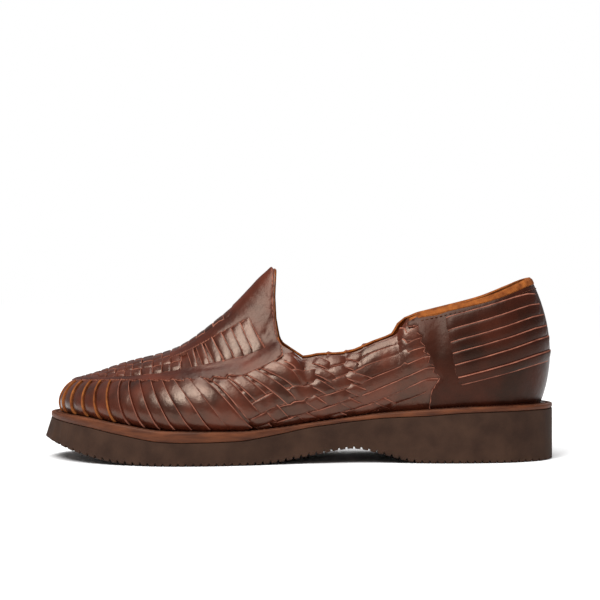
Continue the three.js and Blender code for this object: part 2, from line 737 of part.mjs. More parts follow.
// A four-cornered strip or pad with its edges drawn in by half the gap between strips
function insetQuad(quad, gap = stripGap) {
  const toward = (from, to) => {
    const length = Math.hypot(to[0] - from[0], to[1] - from[1]);
    return [((to[0] - from[0]) * gap) / 2 / length, ((to[1] - from[1]) * gap) / 2 / length];
  };
  return quad.map((corner, i) => {
    const next = toward(corner, quad[(i + 1) % 4]);
    const last = toward(corner, quad[(i + 3) % 4]);
    return [corner[0] + next[0] + last[0], corner[1] + next[1] + last[1]];
  });
}

const root = wallThickness / 2;
const raised = (quad) => flatPiece(insetQuad(quad), root, outerSkin);
const through = (quad) => flatPiece(quad, -wallThickness, 2 * outerSkin);

function sideStrips(side) {
  const top = (turn) => onWall(side, turn, 1 - strapDrop(turn) - 0.02);
  const foot = (turn) => onWall(side, turn - leanAt(turn), 0);
  return sideStripTurns.slice(1).map((turn, i) => {
    const front = sideStripTurns[i];
    return raised([top(front), top(turn), foot(turn), foot(front)]);
  });
}

const waistRows = waistEdges.map((edge) =>
  Object.entries(waistTurns).map(([name, turn]) => ({ turn, rise: edge[name] })),
);
const waistRise = waistRows.map((rows) => curve(rows, "turn", "rise"));

// Where a waist strip's edge meets the edge of a side strip that runs down into the weave
function weaveCorner(edge, turn) {
  let at = turn;
  for (let i = 0; i < 20; i += 1) at = turn - leanAt(turn) * (1 - waistRise[edge](at));
  return { turn: at, rise: waistRise[edge](at) };
}

function waistWeave(side) {
  const pads = [];
  const spot = ({ turn, rise }) => onWall(side, turn, Math.min(Math.max(rise, 0), weaveTop));
  for (let j = 0; j + 1 < waistEdges.length; j += 1) {
    const limit = waistEdges[j].weave;
    const starts = [j, j + 1].map((edge) => ({ turn: limit, rise: waistRise[edge](limit) }));
    const ends = [j, j + 1].map((edge) => counterMeet(waistRise[edge]));
    pads.push(raised([spot(starts[0]), spot(ends[0]), spot(ends[1]), spot(starts[1])]));
    for (let k = 0; k + 1 < waistStripTurns.length; k += 1) {
      const [front, back] = [waistStripTurns[k], waistStripTurns[k + 1]];
      const corners = [
        weaveCorner(j, front),
        weaveCorner(j, back),
        weaveCorner(j + 1, back),
        weaveCorner(j + 1, front),
      ];
      const middle = corners.reduce((sum, { rise }) => sum + rise / 4, 0);
      const hind = Math.min(...corners.map(({ turn }) => turn));
      if (middle > 0.04 && middle < weaveTop && hind > limit) pads.push(raised(corners.map(spot)));
    }
  }
  return pads;
}
const weaveTop = 0.95;

// Where a waist strip's edge runs under the front of the counter
function counterMeet(riseAt) {
  const rise = riseAt(waistTurns.counter);
  const below = counterFront.findIndex((row) => row.rise < rise);
  const [high, low] = [counterFront[below - 1], counterFront[below]];
  const share = (high.rise - rise) / (high.rise - low.rise);
  return { turn: mix(high.turn, low.turn, share) + counterClearance, rise };
}
const counterClearance = 0.004;

function ladders(side) {
  const { inner, outer } = ladderBand;
  return ladderRows.map(({ top, foot }) =>
    raised([
      onInstep(side, top - ladderHalf, inner),
      onInstep(side, foot - ladderHalf, outer),
      onInstep(side, foot + ladderHalf, outer),
      onInstep(side, top + ladderHalf, inner),
    ]),
  );
}

const windows = (side) =>
  windowTurns.map((turn) => {
    const half = windowSize / chartEnd / 2;
    const rise = windowSize / crownGirth / 1.4;
    return through([
      onInstep(side, turn - half * 1.1, 0.7 + rise),
      onInstep(side, turn - half * 0.7, 0.7 - rise),
      onInstep(side, turn + half * 1.1, 0.7 - rise),
      onInstep(side, turn + half * 0.7, 0.7 + rise),
    ]);
  });

const counterGap = (side) =>
  through([
    onWall(side, 0.345, 0.13),
    onWall(side, 0.343, 0.21),
    onWall(side, 0.352, 0.23),
    onWall(side, 0.357, 0.15),
  ]);

function spineStrips() {
  const band = centreStrap.inner - 0.02;
  return spineTurns.map((turn) =>
    raised([
      onInstep(LATERAL, turn - 0.007, band),
      onInstep(MEDIAL, turn - 0.007, band),
      onInstep(MEDIAL, turn + 0.007, band),
      onInstep(LATERAL, turn + 0.007, band),
    ]),
  );
}

function toeWeave() {
  const edges = [...toeLanes.map((lane) => -lane), ...toeLanes.map((lane) => lane).reverse()];
  const pads = [];
  for (let i = 0; i + 1 < toeTurns.length; i += 1) {
    for (let j = 0; j + 1 < edges.length; j += 1) {
      pads.push(
        raised([
          onInstep(MEDIAL, toeTurns[i], edges[j]),
          onInstep(MEDIAL, toeTurns[i + 1], edges[j]),
          onInstep(MEDIAL, toeTurns[i + 1], edges[j + 1]),
          onInstep(MEDIAL, toeTurns[i], edges[j + 1]),
        ]),
      );
    }
  }
  return pads;
}

const settled = (solid) => new wasm.Manifold(solid.getMesh());
const join = (flats) => flats.reduce((whole, flat) => settled(whole.add(flat)));
const cut = (flat, tools) => settled(flat.subtract(join(tools)));

function upperPattern() {
  const half = (side) => [
    onWall(side, 1, 0),
    onWall(side, 0, 0),
    onWall(side, 0, 1),
    ...collarTurns.map((turn) => onWall(side, turn, 1)),
    ...throatRows.slice(0, -1).map(({ turn, spread }) => onInstep(side, turn, spread)),
  ];
  const tip = onInstep(MEDIAL, throatRows.at(-1).turn, 0);
  const plate = flatPiece([...half(LATERAL), tip, ...half(MEDIAL).reverse()], 0, wallThickness);
  const strips = SIDES.flatMap((side) => [...sideStrips(side), ...waistWeave(side), ...ladders(side)]);
  const openings = SIDES.flatMap((side) => [...windows(side), counterGap(side)]);
  return cut(join([plate, ...strips, ...spineStrips(), ...toeWeave()]), openings);
}

// The tongue tab with its two centre straps and the side straps that run on round the toe
function tonguePattern() {
  const inset = 0.002;
  const sideStrap = sideStripTurns.slice(0, -1).filter((turn) => turn > 0.5);
  const half = (side) => [
    ...sideStrap.map((turn) => onWall(side, turn, 1 - strapDrop(turn))),
    onWall(side, 0.54, 1 - strapDrop(0.54)),
    onWall(side, 0.523, 1 - strapDrop(0.523)),
    onWall(side, throatRows[0].turn + inset, 1 - strapDrop(0.5) * 0.8),
    ...throatRows.slice(0, -1).map(({ turn, spread }) => onInstep(side, turn + inset, spread)),
  ];
  const hole = (side) => [
    onInstep(side, centreStrap.split, 0),
    onInstep(side, centreStrap.split + 0.006, centreStrap.inner),
    onInstep(side, centreStrap.end, centreStrap.inner),
    onInstep(side, centreStrap.end, centreStrap.outer),
    onInstep(side, 0.6, centreStrap.outer),
    onInstep(side, 0.557, centreStrap.outer),
    onInstep(side, 0.533, 1 - strapReach(0.54)),
    onInstep(side, 0.56, 1 - strapReach(0.56)),
    ...[...sideStrap].reverse().map((turn) => onInstep(side, turn, 1 - strapReach(turn))),
  ];
  const tip = onInstep(MEDIAL, throatRows.at(-1).turn + inset, 0);
  const points = [
    ...half(LATERAL),
    tip,
    ...half(MEDIAL).reverse(),
    ...hole(MEDIAL).reverse(),
    ...hole(LATERAL).slice(1),
  ];
  return flatPiece(points, root, wallThickness + seamGap + strapThickness);
}

const counterSkin = wallThickness + seamGap + counterThickness;
function counterPattern() {
  const half = (side) => [
    onWall(side, 0, 0.03),
    onWall(side, 0, counterTop),
    ...[0.12, 0.2, 0.28].map((turn) => onWall(side, turn, counterTop)),
    ...counterFront.map(({ turn, rise }) => onWall(side, turn, rise)),
  ];
  return join(SIDES.map((side) => flatPiece(half(side), root, counterSkin)));
}

function heelStripPattern(side, i) {
  const edge = (row, share) => {
    const { slit, tip, start, end } = heelEdges[row];
    const bow = heelBow * Math.sin(Math.PI * share);
    return onWall(side, mix(start, end, share), mix(slit, tip, share) + bow);
  };
  const shares = [0, 0.33, 0.67, 1];
  const gap = heelStripGap / wallGirth;
  const top = shares.map((share) => edge(i, share));
  const foot = shares.map((share) => edge(i + 1, share)).reverse();
  const raisedFoot = foot.map(([along, across]) => [along, across - side * gap * wallGirth]);
  return flatPiece([...top, ...raisedFoot], counterSkin - counterThickness / 2, heelStripSkin);
}
const heelStripGap = 0.7;
const heelStripSkin = counterSkin + seamGap + stripThickness;

// Lays a flat piece over one that is already in place, with the seam gap between them
function overlay(flat, under) {
  const piece = asManifold(bendOverLast(scored(flat)));
  const [near, clear] = [0, seamGap].map((clearance) => asManifold(bendOverLast(under, clearance)));
  return fromManifold(piece.subtract(near).subtract(clear));
}

// The largest body of a solid, as a geometry
function fromManifold(solid) {
  const [largest] = solid.decompose().sort((a, b) => b.volume() - a.volume());
  const mesh = largest.getMesh();
  const points = [];
  for (let i = 0; i < mesh.vertProperties.length; i += mesh.numProp) {
    points.push([...mesh.vertProperties.slice(i, i + 3)]);
  }
  const faces = [];
  for (let i = 0; i < mesh.triVerts.length; i += 3) faces.push([...mesh.triVerts.slice(i, i + 3)]);
  return solidFrom(points, faces);
}

// Finishes and the shoe itself

const finish = (color, roughness) => new THREE.MeshStandardMaterial({ color, roughness, metalness: 0 });
const shoe = new THREE.Group();
function add(name, geometry, material) {
  const mesh = new THREE.Mesh(geometry, material);
  mesh.name = name;
  shoe.add(mesh);
}

const wall = scored(upperPattern());
const counter = scored(counterPattern());
add("outsole", outsole(), finish("#3b2a22", 0.75));
add("midsole", midsole(), finish("#a5532a", 0.6));
add("insole", insole(), finish("#b87442", 0.8));
add("upper", bendOverLast(wall), finish("#54291d", 0.38));
add("tongue", overlay(tonguePattern(), wall), finish("#5b2e24", 0.38));
add("heel_counter", overlay(counterPattern(), wall), finish("#4a241a", 0.38));
for (const [side, word] of [
  [LATERAL, "lateral"],
  [MEDIAL, "medial"],
]) {
  for (let i = 0; i + 1 < heelEdges.length; i += 1) {
    add(`heel_strip_${word}_${i + 1}`, overlay(heelStripPattern(side, i), counter), finish("#46231a", 0.36));
  }
}

const middle = new THREE.Box3().setFromObject(shoe).getCenter(new THREE.Vector3());
for (const mesh of shoe.children) mesh.geometry.translate(-middle.x, -middle.y, 0);

export default shoe;
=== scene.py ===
"""A woven leather slip-on shoe (huarache) for the left foot, dressed over its solids.

Sizes are millimetres in the tables and the flat pattern, and metres in the meshes. The toe points along -X,
the outer side of the foot is -Y and the sole stands on Z 0.
"""

import logging
import math
from collections.abc import Callable, Sequence
from dataclasses import dataclass, field
from enum import Enum

import bpy
import numpy as np
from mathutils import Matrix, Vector
from mathutils.geometry import delaunay_2d_cdt


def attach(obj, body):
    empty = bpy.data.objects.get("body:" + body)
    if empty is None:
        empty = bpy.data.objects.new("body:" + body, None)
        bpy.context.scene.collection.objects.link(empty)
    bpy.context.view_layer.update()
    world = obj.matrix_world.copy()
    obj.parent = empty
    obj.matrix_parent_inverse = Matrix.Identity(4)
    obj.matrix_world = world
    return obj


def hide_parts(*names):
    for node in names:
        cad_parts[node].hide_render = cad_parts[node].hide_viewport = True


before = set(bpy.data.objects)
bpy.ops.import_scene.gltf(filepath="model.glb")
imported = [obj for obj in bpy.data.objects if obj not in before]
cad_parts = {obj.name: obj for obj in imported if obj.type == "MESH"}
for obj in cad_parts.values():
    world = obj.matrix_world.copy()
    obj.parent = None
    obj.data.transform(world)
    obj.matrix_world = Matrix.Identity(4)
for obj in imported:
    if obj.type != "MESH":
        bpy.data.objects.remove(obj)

log = logging.getLogger("shoe")
MM = 0.001
Spot = tuple[float, float]
HeightLine = Callable[[np.ndarray], np.ndarray]
SectionRow = Callable[[float], np.ndarray]


class Side(Enum):
    """Side of the shoe: its sign across the shoe, lateral towards the viewer."""

    LATERAL = -1
    MEDIAL = 1


# Sizes that the shoe shares with its solids, in mm

SOLE_LENGTH = 290.5
TOE_OVERHANG = 3.4
BALL_WIDTH = 104.5
HEEL_SEAT = 32.0
FOREFOOT = 18.4
TOE_RISE = 8.4
TOE_SPRING = 11.7
ARCH_RISE = 8.3
MIDSOLE = 5.8
INSOLE = 2.6
COLLAR = 71.0
TONGUE = 86.6
WELT_MARGIN = 6.6
WALL = 1.5
STRIP = 1.2
STRAP = 1.5
COUNTER = 1.3
SEAM = 0.3

# The flat pattern: its length from heel to toe, and its girths from the ridge out to the feather edge

CHART_END = math.pi * SOLE_LENGTH * 0.36
CROWN_GIRTH = BALL_WIDTH * 0.31
WALL_GIRTH = COLLAR * 0.56
FEATHER = CROWN_GIRTH + WALL_GIRTH

# The feather edge inside the sole's outline, and where the wall's top changes from collar to strap line

OUTER_SKIN = WALL + STRIP
FULL_MARGIN = WELT_MARGIN + OUTER_SKIN + SEAM
HEEL_END = (SOLE_LENGTH + TOE_OVERHANG) / 2
COLLAR_FRONT = 0.524
COLLAR_TURN = 0.51

# Share of a rib's height up to which it rises steeply
LOW_SHARE = 0.3


@dataclass(frozen=True)
class Curve:
    """A monotone cubic through given rows."""

    places: tuple[float, ...]
    values: tuple[float, ...]

    def __call__(self, at: np.ndarray | float) -> np.ndarray:
        """Values of the curve.

        Args:
            at: Places along the curve, held inside its ends.

        Returns:
            The values there.
        """
        x, y = np.array(self.places), np.array(self.values)
        at = np.clip(np.asarray(at, dtype=float), x[0], x[-1])
        slope = np.diff(y) / np.diff(x)
        tangent = np.concatenate([slope[:1], np.zeros(len(x) - 2), slope[-1:]])
        product, total = slope[:-1] * slope[1:], slope[:-1] + slope[1:]
        bends = product > 0
        tangent[1:-1][bends] = 2 * product[bends] / total[bends]
        i = np.clip(np.searchsorted(x, at, side="right") - 1, 0, len(x) - 2)
        width = x[i + 1] - x[i]
        u = (at - x[i]) / width
        v = 1 - u
        ends = y[i] * v * v * (1 + 2 * u) + y[i + 1] * u * u * (3 - 2 * u)
        return ends + width * u * v * (tangent[i] * v - tangent[i + 1] * u)


def turn_of(station: float) -> float:
    """Angle round the sole of a station along it, from 0 at the heel to pi at the toe."""
    return math.acos(1 - 2 * station)


# Half width and centre line of the sole along it, as shares of the ball width
STATIONS = (0.0, 0.04, 0.12, 0.2, 0.35, 0.48, 0.6, 0.7, 0.76, 0.84, 0.91, 0.96, 1.0)
SOLE_HALF = Curve(
    tuple(turn_of(s) for s in STATIONS),
    (0.0, 0.232, 0.33, 0.349, 0.326, 0.343, 0.416, 0.483, 0.5, 0.468, 0.388, 0.278, 0.0),
)
SOLE_CENTRE = Curve(
    STATIONS,
    (0.0, 0.0, -0.004, -0.008, -0.024, -0.04, -0.043, -0.024, -0.008, 0.012, 0.029, 0.043, 0.052),
)
# Heights along the sole, as shares: the seat from heel and to toe, its layer, the tread's spring and arch
SEATS = (0.0, 0.186, 0.258, 0.293, 0.343, 0.4, 0.47, 0.557, 0.621, 0.751, 0.85, 0.921, 1.0)
SEAT_HEEL = Curve(SEATS, (1.0, 0.92, 0.82, 0.77, 0.69, 0.54, 0.34, 0.1, 0.0, 0.0, 0.0, 0.0, 0.0))
SEAT_TOE = Curve(SEATS, (0.0, 0.0, 0.0, 0.0, 0.0, 0.0, 0.0, 0.0, 0.0, 0.06, 0.5, 0.85, 1.0))
SEAT_LAYER = Curve(SEATS, (0.45, 0.5, 0.55, 0.5, 0.44, 0.38, 0.36, 0.62, 0.85, 1.0, 0.92, 0.8, 0.5))
TREAD_SPRING = Curve(SEATS, (0.0, 0.0, 0.0, 0.0, 0.0, 0.0, 0.0, 0.0, 0.0, 0.0, 0.12, 0.44, 1.0))
TREAD_ARCH = Curve(SEATS, (0.0, 0.0, 0.0, 0.14, 0.6, 1.0, 0.65, 0.13, 0.0, 0.0, 0.0, 0.0, 0.0))
# Ribs of the wall along the sole: margin, inset at the top, lower and upper bulge, and height of the shoulder
RIBS = (0.0, 0.08, 0.131, 0.2, 0.3, 0.4, 0.5, 0.56, 0.66, 0.78, 0.87, 0.92, 1.0)
RIB_MARGIN = Curve(RIBS, (1.0, 1.0, 0.95, 0.9, 0.85, 0.82, 0.85, 0.9, 0.95, 1.0, 1.0, 1.0, 1.0))
RIB_INSET = Curve(
    RIBS, (0.054, 0.058, 0.065, 0.074, 0.07, 0.055, 0.055, 0.084, 0.108, 0.134, 0.134, 0.11, 0.05)
)
RIB_LOW = Curve(RIBS, (0.077, 0.06, 0.052, 0.05, 0.05, 0.056, 0.066, 0.076, 0.086, 0.088, 0.08, 0.072, 0.058))
RIB_HIGH = Curve(
    RIBS, (0.072, 0.05, 0.03, 0.024, 0.03, 0.034, 0.034, 0.012, -0.012, -0.024, -0.03, -0.018, 0.0)
)
RIB_SHOULDER = Curve(RIBS, (0.63, 0.63, 0.65, 0.68, 0.7, 0.72, 0.75, 0.8, 0.84, 0.86, 0.86, 0.85, 0.84))
# Heights of the collar, the strap line and the ridge along the sole
COLLAR_RISE = Curve(
    (0.03, 0.053, 0.08, 0.131, 0.166, 0.229, 0.28, 0.297, 0.307, 0.354, 0.401, 0.425, 0.462, 0.496, 0.524),
    (1.01, 1.0, 0.949, 0.856, 0.812, 0.744, 0.688, 0.658, 0.563, 0.479, 0.398, 0.382, 0.377, 0.352, 0.465),
)
STRAP_RISE = Curve(
    (0.524, 0.535, 0.57, 0.618, 0.675, 0.734, 0.781, 0.87, 0.92, 0.949),
    (0.538, 0.532, 0.476, 0.411, 0.372, 0.339, 0.314, 0.292, 0.286, 0.276),
)
RIDGE_RISE = Curve(
    (0.5, 0.561, 0.576, 0.593, 0.628, 0.662, 0.696, 0.727, 0.753, 0.791, 0.824, 0.862, 0.9, 0.949),
    (1.2, 1.0, 0.955, 0.893, 0.772, 0.677, 0.587, 0.516, 0.472, 0.432, 0.406, 0.37, 0.325, 0.276),
)
# Roundness of the instep across the shoe, at the ridge and at the strap line
INSTEPS = (0.52, 0.561, 0.6, 0.66, 0.75, 0.949)
INSTEP_CROWN = Curve(INSTEPS, (0.24, 0.27, 0.32, 0.42, 0.52, 0.56))
INSTEP_LIFT = Curve(INSTEPS, (0.06, 0.1, 0.25, 0.45, 0.52, 0.6))
INSTEP_RUN = 0.34


def reach_of(x: np.ndarray) -> np.ndarray:
    """Share of the way along the sole, from the heel, of a place in X."""
    return (HEEL_END - x) / SOLE_LENGTH


def seat_z(x: np.ndarray) -> np.ndarray:
    """Height of the midsole's top."""
    return FOREFOOT + SEAT_HEEL(reach_of(x)) * (HEEL_SEAT - FOREFOOT) + SEAT_TOE(reach_of(x)) * TOE_RISE


def midsole_z(x: np.ndarray) -> np.ndarray:
    """Height of the midsole's underside."""
    return seat_z(x) - SEAT_LAYER(reach_of(x)) * MIDSOLE


def tread_z(x: np.ndarray) -> np.ndarray:
    """Height of the tread over the floor."""
    return TREAD_SPRING(reach_of(x)) * TOE_SPRING + TREAD_ARCH(reach_of(x)) * ARCH_RISE


def mix(a: np.ndarray, b: np.ndarray, t: np.ndarray) -> np.ndarray:
    """Value between a and b at the share t."""
    return a + (b - a) * t


def bezier(a: np.ndarray, b: np.ndarray, c: np.ndarray, d: np.ndarray, t: np.ndarray) -> np.ndarray:
    """Point of a cubic with control values a to d."""
    r = 1 - t
    return a * r**3 + 3 * b * r * r * t + 3 * c * r * t * t + d * t**3


def outline(phi: np.ndarray, side: float) -> tuple[np.ndarray, np.ndarray]:
    """Point of the sole's outline.

    Args:
        phi: Angle round the sole, past either end if need be.
        side: -1 on the lateral side and 1 on the medial side.

    Returns:
        X and Y in millimetres.
    """
    phi = np.asarray(phi, dtype=float)
    past = (phi < 0) | (phi > math.pi)
    turn = np.where(phi < 0, -phi, np.where(phi > math.pi, 2 * math.pi - phi, phi))
    station = (1 - np.cos(turn)) / 2
    half = SOLE_HALF(turn) * BALL_WIDTH * np.where(past, -side, side)
    return HEEL_END - station * SOLE_LENGTH, SOLE_CENTRE(station) * BALL_WIDTH + half


def outward(phi: np.ndarray, side: float) -> tuple[np.ndarray, np.ndarray]:
    """Direction out of the sole's outline, level with the floor."""
    step = 0.02
    x0, y0 = outline(np.asarray(phi) - step, side)
    x1, y1 = outline(np.asarray(phi) + step, side)
    length = np.hypot(x1 - x0, y1 - y0)
    return side * (y1 - y0) / length, -side * (x1 - x0) / length


@dataclass
class Rib:
    """One row of ribs of the last, from the feather edge to the collar or strap line."""

    phi: np.ndarray
    side: float
    out: tuple[np.ndarray, np.ndarray] = field(init=False)
    foot: tuple[np.ndarray, np.ndarray] = field(init=False)
    top: tuple[np.ndarray, np.ndarray] = field(init=False)
    foot_z: np.ndarray = field(init=False)
    top_z: np.ndarray = field(init=False)

    def __post_init__(self) -> None:
        """Works out where the ribs start and end."""
        station = (1 - np.cos(self.phi)) / 2
        self.out = outward(self.phi, self.side)
        edge = outline(self.phi, self.side)
        margin = RIB_MARGIN(station) * FULL_MARGIN
        self.foot = tuple(edge[i] - self.out[i] * margin for i in (0, 1))
        inset = RIB_INSET(station) * BALL_WIDTH
        self.top = tuple(self.foot[i] - self.out[i] * inset for i in (0, 1))
        rim = self.foot[0] + self.out[0] * OUTER_SKIN
        self.foot_z = np.maximum(seat_z(self.foot[0]), seat_z(rim)) + SEAM
        reach = reach_of(self.top[0])
        collar = HEEL_SEAT + COLLAR_RISE(reach) * COLLAR
        strap = FOREFOOT + STRAP_RISE(reach) * TONGUE
        self.top_z = np.where(reach < COLLAR_FRONT, collar, strap)

    def wall(self, rise: np.ndarray) -> np.ndarray:
        """Points up the wall.

        Args:
            rise: Shares of the way up, 0 at the feather edge.

        Returns:
            Points as an array of ribs, shares and X, Y, Z.
        """
        station = ((1 - np.cos(self.phi)) / 2)[:, None]
        t = rise[None, :]
        height = (self.top_z - self.foot_z)[:, None]
        low, high = RIB_LOW(station) * BALL_WIDTH, RIB_HIGH(station) * BALL_WIDTH
        out = bezier(0 * low, low, high, -RIB_INSET(station) * BALL_WIDTH, t)
        lift = bezier(0 * height, LOW_SHARE * height, RIB_SHOULDER(station) * height, height, t)
        z = self.foot_z[:, None] + lift
        flat = [self.foot[i][:, None] + self.out[i][:, None] * out for i in (0, 1)]
        return np.stack([*flat, z], axis=-1)

    def instep(self, other: "Rib", spread: np.ndarray) -> np.ndarray:
        """Points over the instep.

        Args:
            other: The ribs across the shoe from these.
            spread: Shares out from the ridge, 1 at the strap line.

        Returns:
            Points as an array of ribs, shares and X, Y, Z.
        """
        ridge = [((self.top[i] + other.top[i]) / 2)[:, None] for i in (0, 1)]
        reach = reach_of(ridge[0])
        crest = FOREFOOT + RIDGE_RISE(reach) * TONGUE
        t = (1 - spread)[None, :]
        flat = []
        for i in (0, 1):
            near = self.top[i][:, None]
            shoulder = mix(near, ridge[i], INSTEP_RUN)
            flat.append(bezier(near, shoulder, mix(ridge[i], near, INSTEP_CROWN(reach)), ridge[i], t))
        base = self.top_z[:, None]
        z = bezier(base, mix(base, crest, INSTEP_LIFT(reach)), crest, crest, t)
        return np.stack([*flat, z], axis=-1)


class Last:
    """The form that the upper is drawn over, as a fine grid of points and directions."""

    ROWS = 560
    PAD = 40
    RING = 80
    CROWN = 64
    # Share of the wall, from its foot, over which its normals turn level
    LEVEL_SHARE = 0.2

    def __init__(self) -> None:
        """Works out the grid."""
        phi = np.linspace(0, math.pi, self.ROWS + 1)
        rise = np.linspace(0, 1, self.RING + 1)
        spread = np.linspace(1, 0, self.CROWN // 2 + 1)
        ribs = {side: Rib(phi, side.value) for side in Side}
        lateral = ribs[Side.LATERAL].instep(ribs[Side.MEDIAL], spread)
        medial = ribs[Side.MEDIAL].instep(ribs[Side.LATERAL], spread[::-1])
        parts = [
            ribs[Side.LATERAL].wall(rise),
            np.concatenate([lateral, medial[:, 1:]], axis=1),
            ribs[Side.MEDIAL].wall(rise[::-1]),
        ]
        girths = [
            -FEATHER + rise * WALL_GIRTH,
            np.linspace(-CROWN_GIRTH, CROWN_GIRTH, self.CROWN + 1),
            FEATHER - rise[::-1] * WALL_GIRTH,
        ]
        along = np.arange(-self.PAD, self.ROWS + self.PAD + 1) * CHART_END / self.ROWS
        grids, directions = [], []
        for i, girth in enumerate(girths):
            grid = self._padded(parts[i], parts[2 - i])
            du, dv = np.gradient(grid, along, girth, axis=(0, 1))
            normal = np.cross(dv, du)
            grids.append(grid)
            directions.append(normal / np.linalg.norm(normal, axis=-1, keepdims=True))
        open_rows = (along < COLLAR_TURN * CHART_END)[:, None]
        for ring, ring_edge, crown_edge in ((0, -1, 0), (2, 0, -1)):
            both = directions[ring][:, ring_edge] + directions[1][:, crown_edge]
            own = directions[ring][:, ring_edge]
            edge = np.where(open_rows, own, both / np.linalg.norm(both, axis=-1, keepdims=True))
            directions[ring][:, ring_edge] = edge
            directions[1][:, crown_edge] = edge
        self.across = np.concatenate([girths[0], girths[1][1:-1], girths[2]])
        self.along = along
        self.points = np.concatenate([grids[0], grids[1][:, 1:-1], grids[2]], axis=1)
        normal = np.concatenate([directions[0], directions[1][:, 1:-1], directions[2]], axis=1)
        up = (FEATHER - np.abs(self.across)) / WALL_GIRTH
        level = np.clip(up / self.LEVEL_SHARE, 0, 1)[None, :]
        normal[..., 2] = np.where(normal[..., 2] < 0, normal[..., 2] * level, normal[..., 2])
        self.normals = normal / np.linalg.norm(normal, axis=-1, keepdims=True)

    def _padded(self, grid: np.ndarray, mirror: np.ndarray) -> np.ndarray:
        """A grid carried on past the heel and toe by the other side's grid, back to front."""
        head = mirror[self.PAD : 0 : -1, ::-1]
        tail = mirror[-2 : -self.PAD - 2 : -1, ::-1]
        return np.concatenate([head, grid, tail], axis=0)

    def bend(self, spots: np.ndarray) -> np.ndarray:
        """Lays flat points over the last.

        Args:
            spots: Rows of place along and across the flat pattern, and height off it, in millimetres.

        Returns:
            Rows of X, Y, Z in metres, in the row's frame.
        """
        i = (spots[:, 0] - self.along[0]) / (self.along[1] - self.along[0])
        j = np.interp(spots[:, 1], self.across, np.arange(len(self.across)))
        i = np.clip(i, 0, len(self.along) - 1.001)
        j = np.clip(j, 0, len(self.across) - 1.001)
        i0, j0 = i.astype(int), j.astype(int)
        u, v = (i - i0)[:, None], (j - j0)[:, None]

        def sample(grid: np.ndarray) -> np.ndarray:
            """Grid values at the places asked for."""
            low = mix(grid[i0, j0], grid[i0, j0 + 1], v)
            return mix(low, mix(grid[i0 + 1, j0], grid[i0 + 1, j0 + 1], v), u)

        normal = sample(self.normals)
        normal /= np.linalg.norm(normal, axis=1, keepdims=True)
        return placed(sample(self.points) + normal * spots[:, 2:3])


def middle_y() -> float:
    """Y of the middle of the sole's outline, which the row's frame stands on."""
    phi = np.linspace(0, math.pi, 400)
    low = outline(phi, Side.LATERAL.value)[1].min()
    high = outline(phi, Side.MEDIAL.value)[1].max()
    return float(low + high) / 2


MIDDLE_Y = middle_y()


def placed(points: np.ndarray) -> np.ndarray:
    """Points of the shoe in millimetres as points of the row's frame in metres."""
    return (points - np.array([0.0, MIDDLE_Y, 0.0])) * MM


# Meshes


@dataclass
class Piece:
    """A mesh in the making: points in metres, faces, and the finish number of each face."""

    points: list[np.ndarray] = field(default_factory=list)
    faces: list[tuple[int, ...]] = field(default_factory=list)
    finishes: list[int] = field(default_factory=list)
    count: int = 0

    def add(self, points: np.ndarray, faces: Sequence[Sequence[int]], finishes: Sequence[int]) -> None:
        """Adds points and the faces between them.

        Args:
            points: Rows of X, Y, Z in metres.
            faces: Point numbers of each face, counted from the first of these points.
            finishes: The finish number of each face.
        """
        self.faces.extend(tuple(int(i) + self.count for i in face) for face in faces)
        self.finishes.extend(int(i) for i in finishes)
        self.points.append(points)
        self.count += len(points)

    def _volume(self) -> float:
        """Signed volume of the mesh, below 0 if its faces look inwards."""
        points = np.concatenate(self.points)
        fans = [(face[0], face[i], face[i + 1]) for face in self.faces for i in range(1, len(face) - 1)]
        a, b, c = (points[[fan[k] for fan in fans]] for k in range(3))
        return float(np.einsum("ij,ij->", a, np.cross(b, c)))

    def build(self, name: str, finishes: Sequence["Finish"], crease: float = 40.0) -> bpy.types.Object:
        """Makes the object.

        Args:
            name: Name of the piece.
            finishes: Finishes in the order of their numbers.
            crease: Angle in degrees over which an edge stays sharp.

        Returns:
            The new object, in the scene.
        """
        mesh = bpy.data.meshes.new(name)
        mesh.from_pydata(np.concatenate(self.points).tolist(), [], self.faces)
        for finish in finishes:
            mesh.materials.append(finish.material())
        mesh.polygons.foreach_set("material_index", self.finishes)
        mesh.validate()
        mesh.update()
        if self._volume() < 0:
            mesh.flip_normals()
        mesh.shade_smooth()
        mesh.set_sharp_from_angle(angle=math.radians(crease))
        piece = bpy.data.objects.new(name, mesh)
        bpy.context.scene.collection.objects.link(piece)
        return piece


def dress(piece: bpy.types.Object, slot: str, *nodes: str) -> None:
    """Puts a piece on the shoe.

    Args:
        piece: The new piece.
        slot: The record's material slot for the piece; not used.
        nodes: The solids that it stands for.
    """
    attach(piece, "root")
    if nodes:
        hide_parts(*nodes)
    log.info("%s: %d faces", piece.name, len(piece.data.polygons))


# Numbers of a piece's finishes: its face, its cut edges and its back
FACE, EDGE, BACK = 0, 1, 2


@dataclass(frozen=True)
class BandShape:
    """Section of a leather strip in mm: its thickness, the rise of its middle and its cut edges."""

    thickness: float = 1.3
    dome: float = 0.3
    cut: float = 0.34
    round_off: float = 0.3
    taper: float = 0.1
    quarter_dome: float = 0.8

    def section(self) -> tuple[np.ndarray, np.ndarray, np.ndarray, list[int]]:
        """The points of the section, from one lower edge over the top to the other.

        Returns:
            Their shares across, insets from the edge and heights over the top's edges, and the finish number
            of the face after each.
        """
        shares = [-1.0, -1.0, -1.0, -0.5, 0.0, 0.5, 1.0, 1.0, 1.0]
        insets = [self.taper, 0.0, self.cut, 0.0, 0.0, 0.0, self.cut, 0.0, self.taper]
        low, side, quarter = -self.thickness, -self.round_off, self.dome * self.quarter_dome
        depths = [low, side, 0.0, quarter, self.dome, quarter, 0.0, side, low]
        marks = [EDGE, EDGE, FACE, FACE, FACE, FACE, EDGE, EDGE, FACE]
        return np.array(shares), np.array(insets), np.array(depths), marks


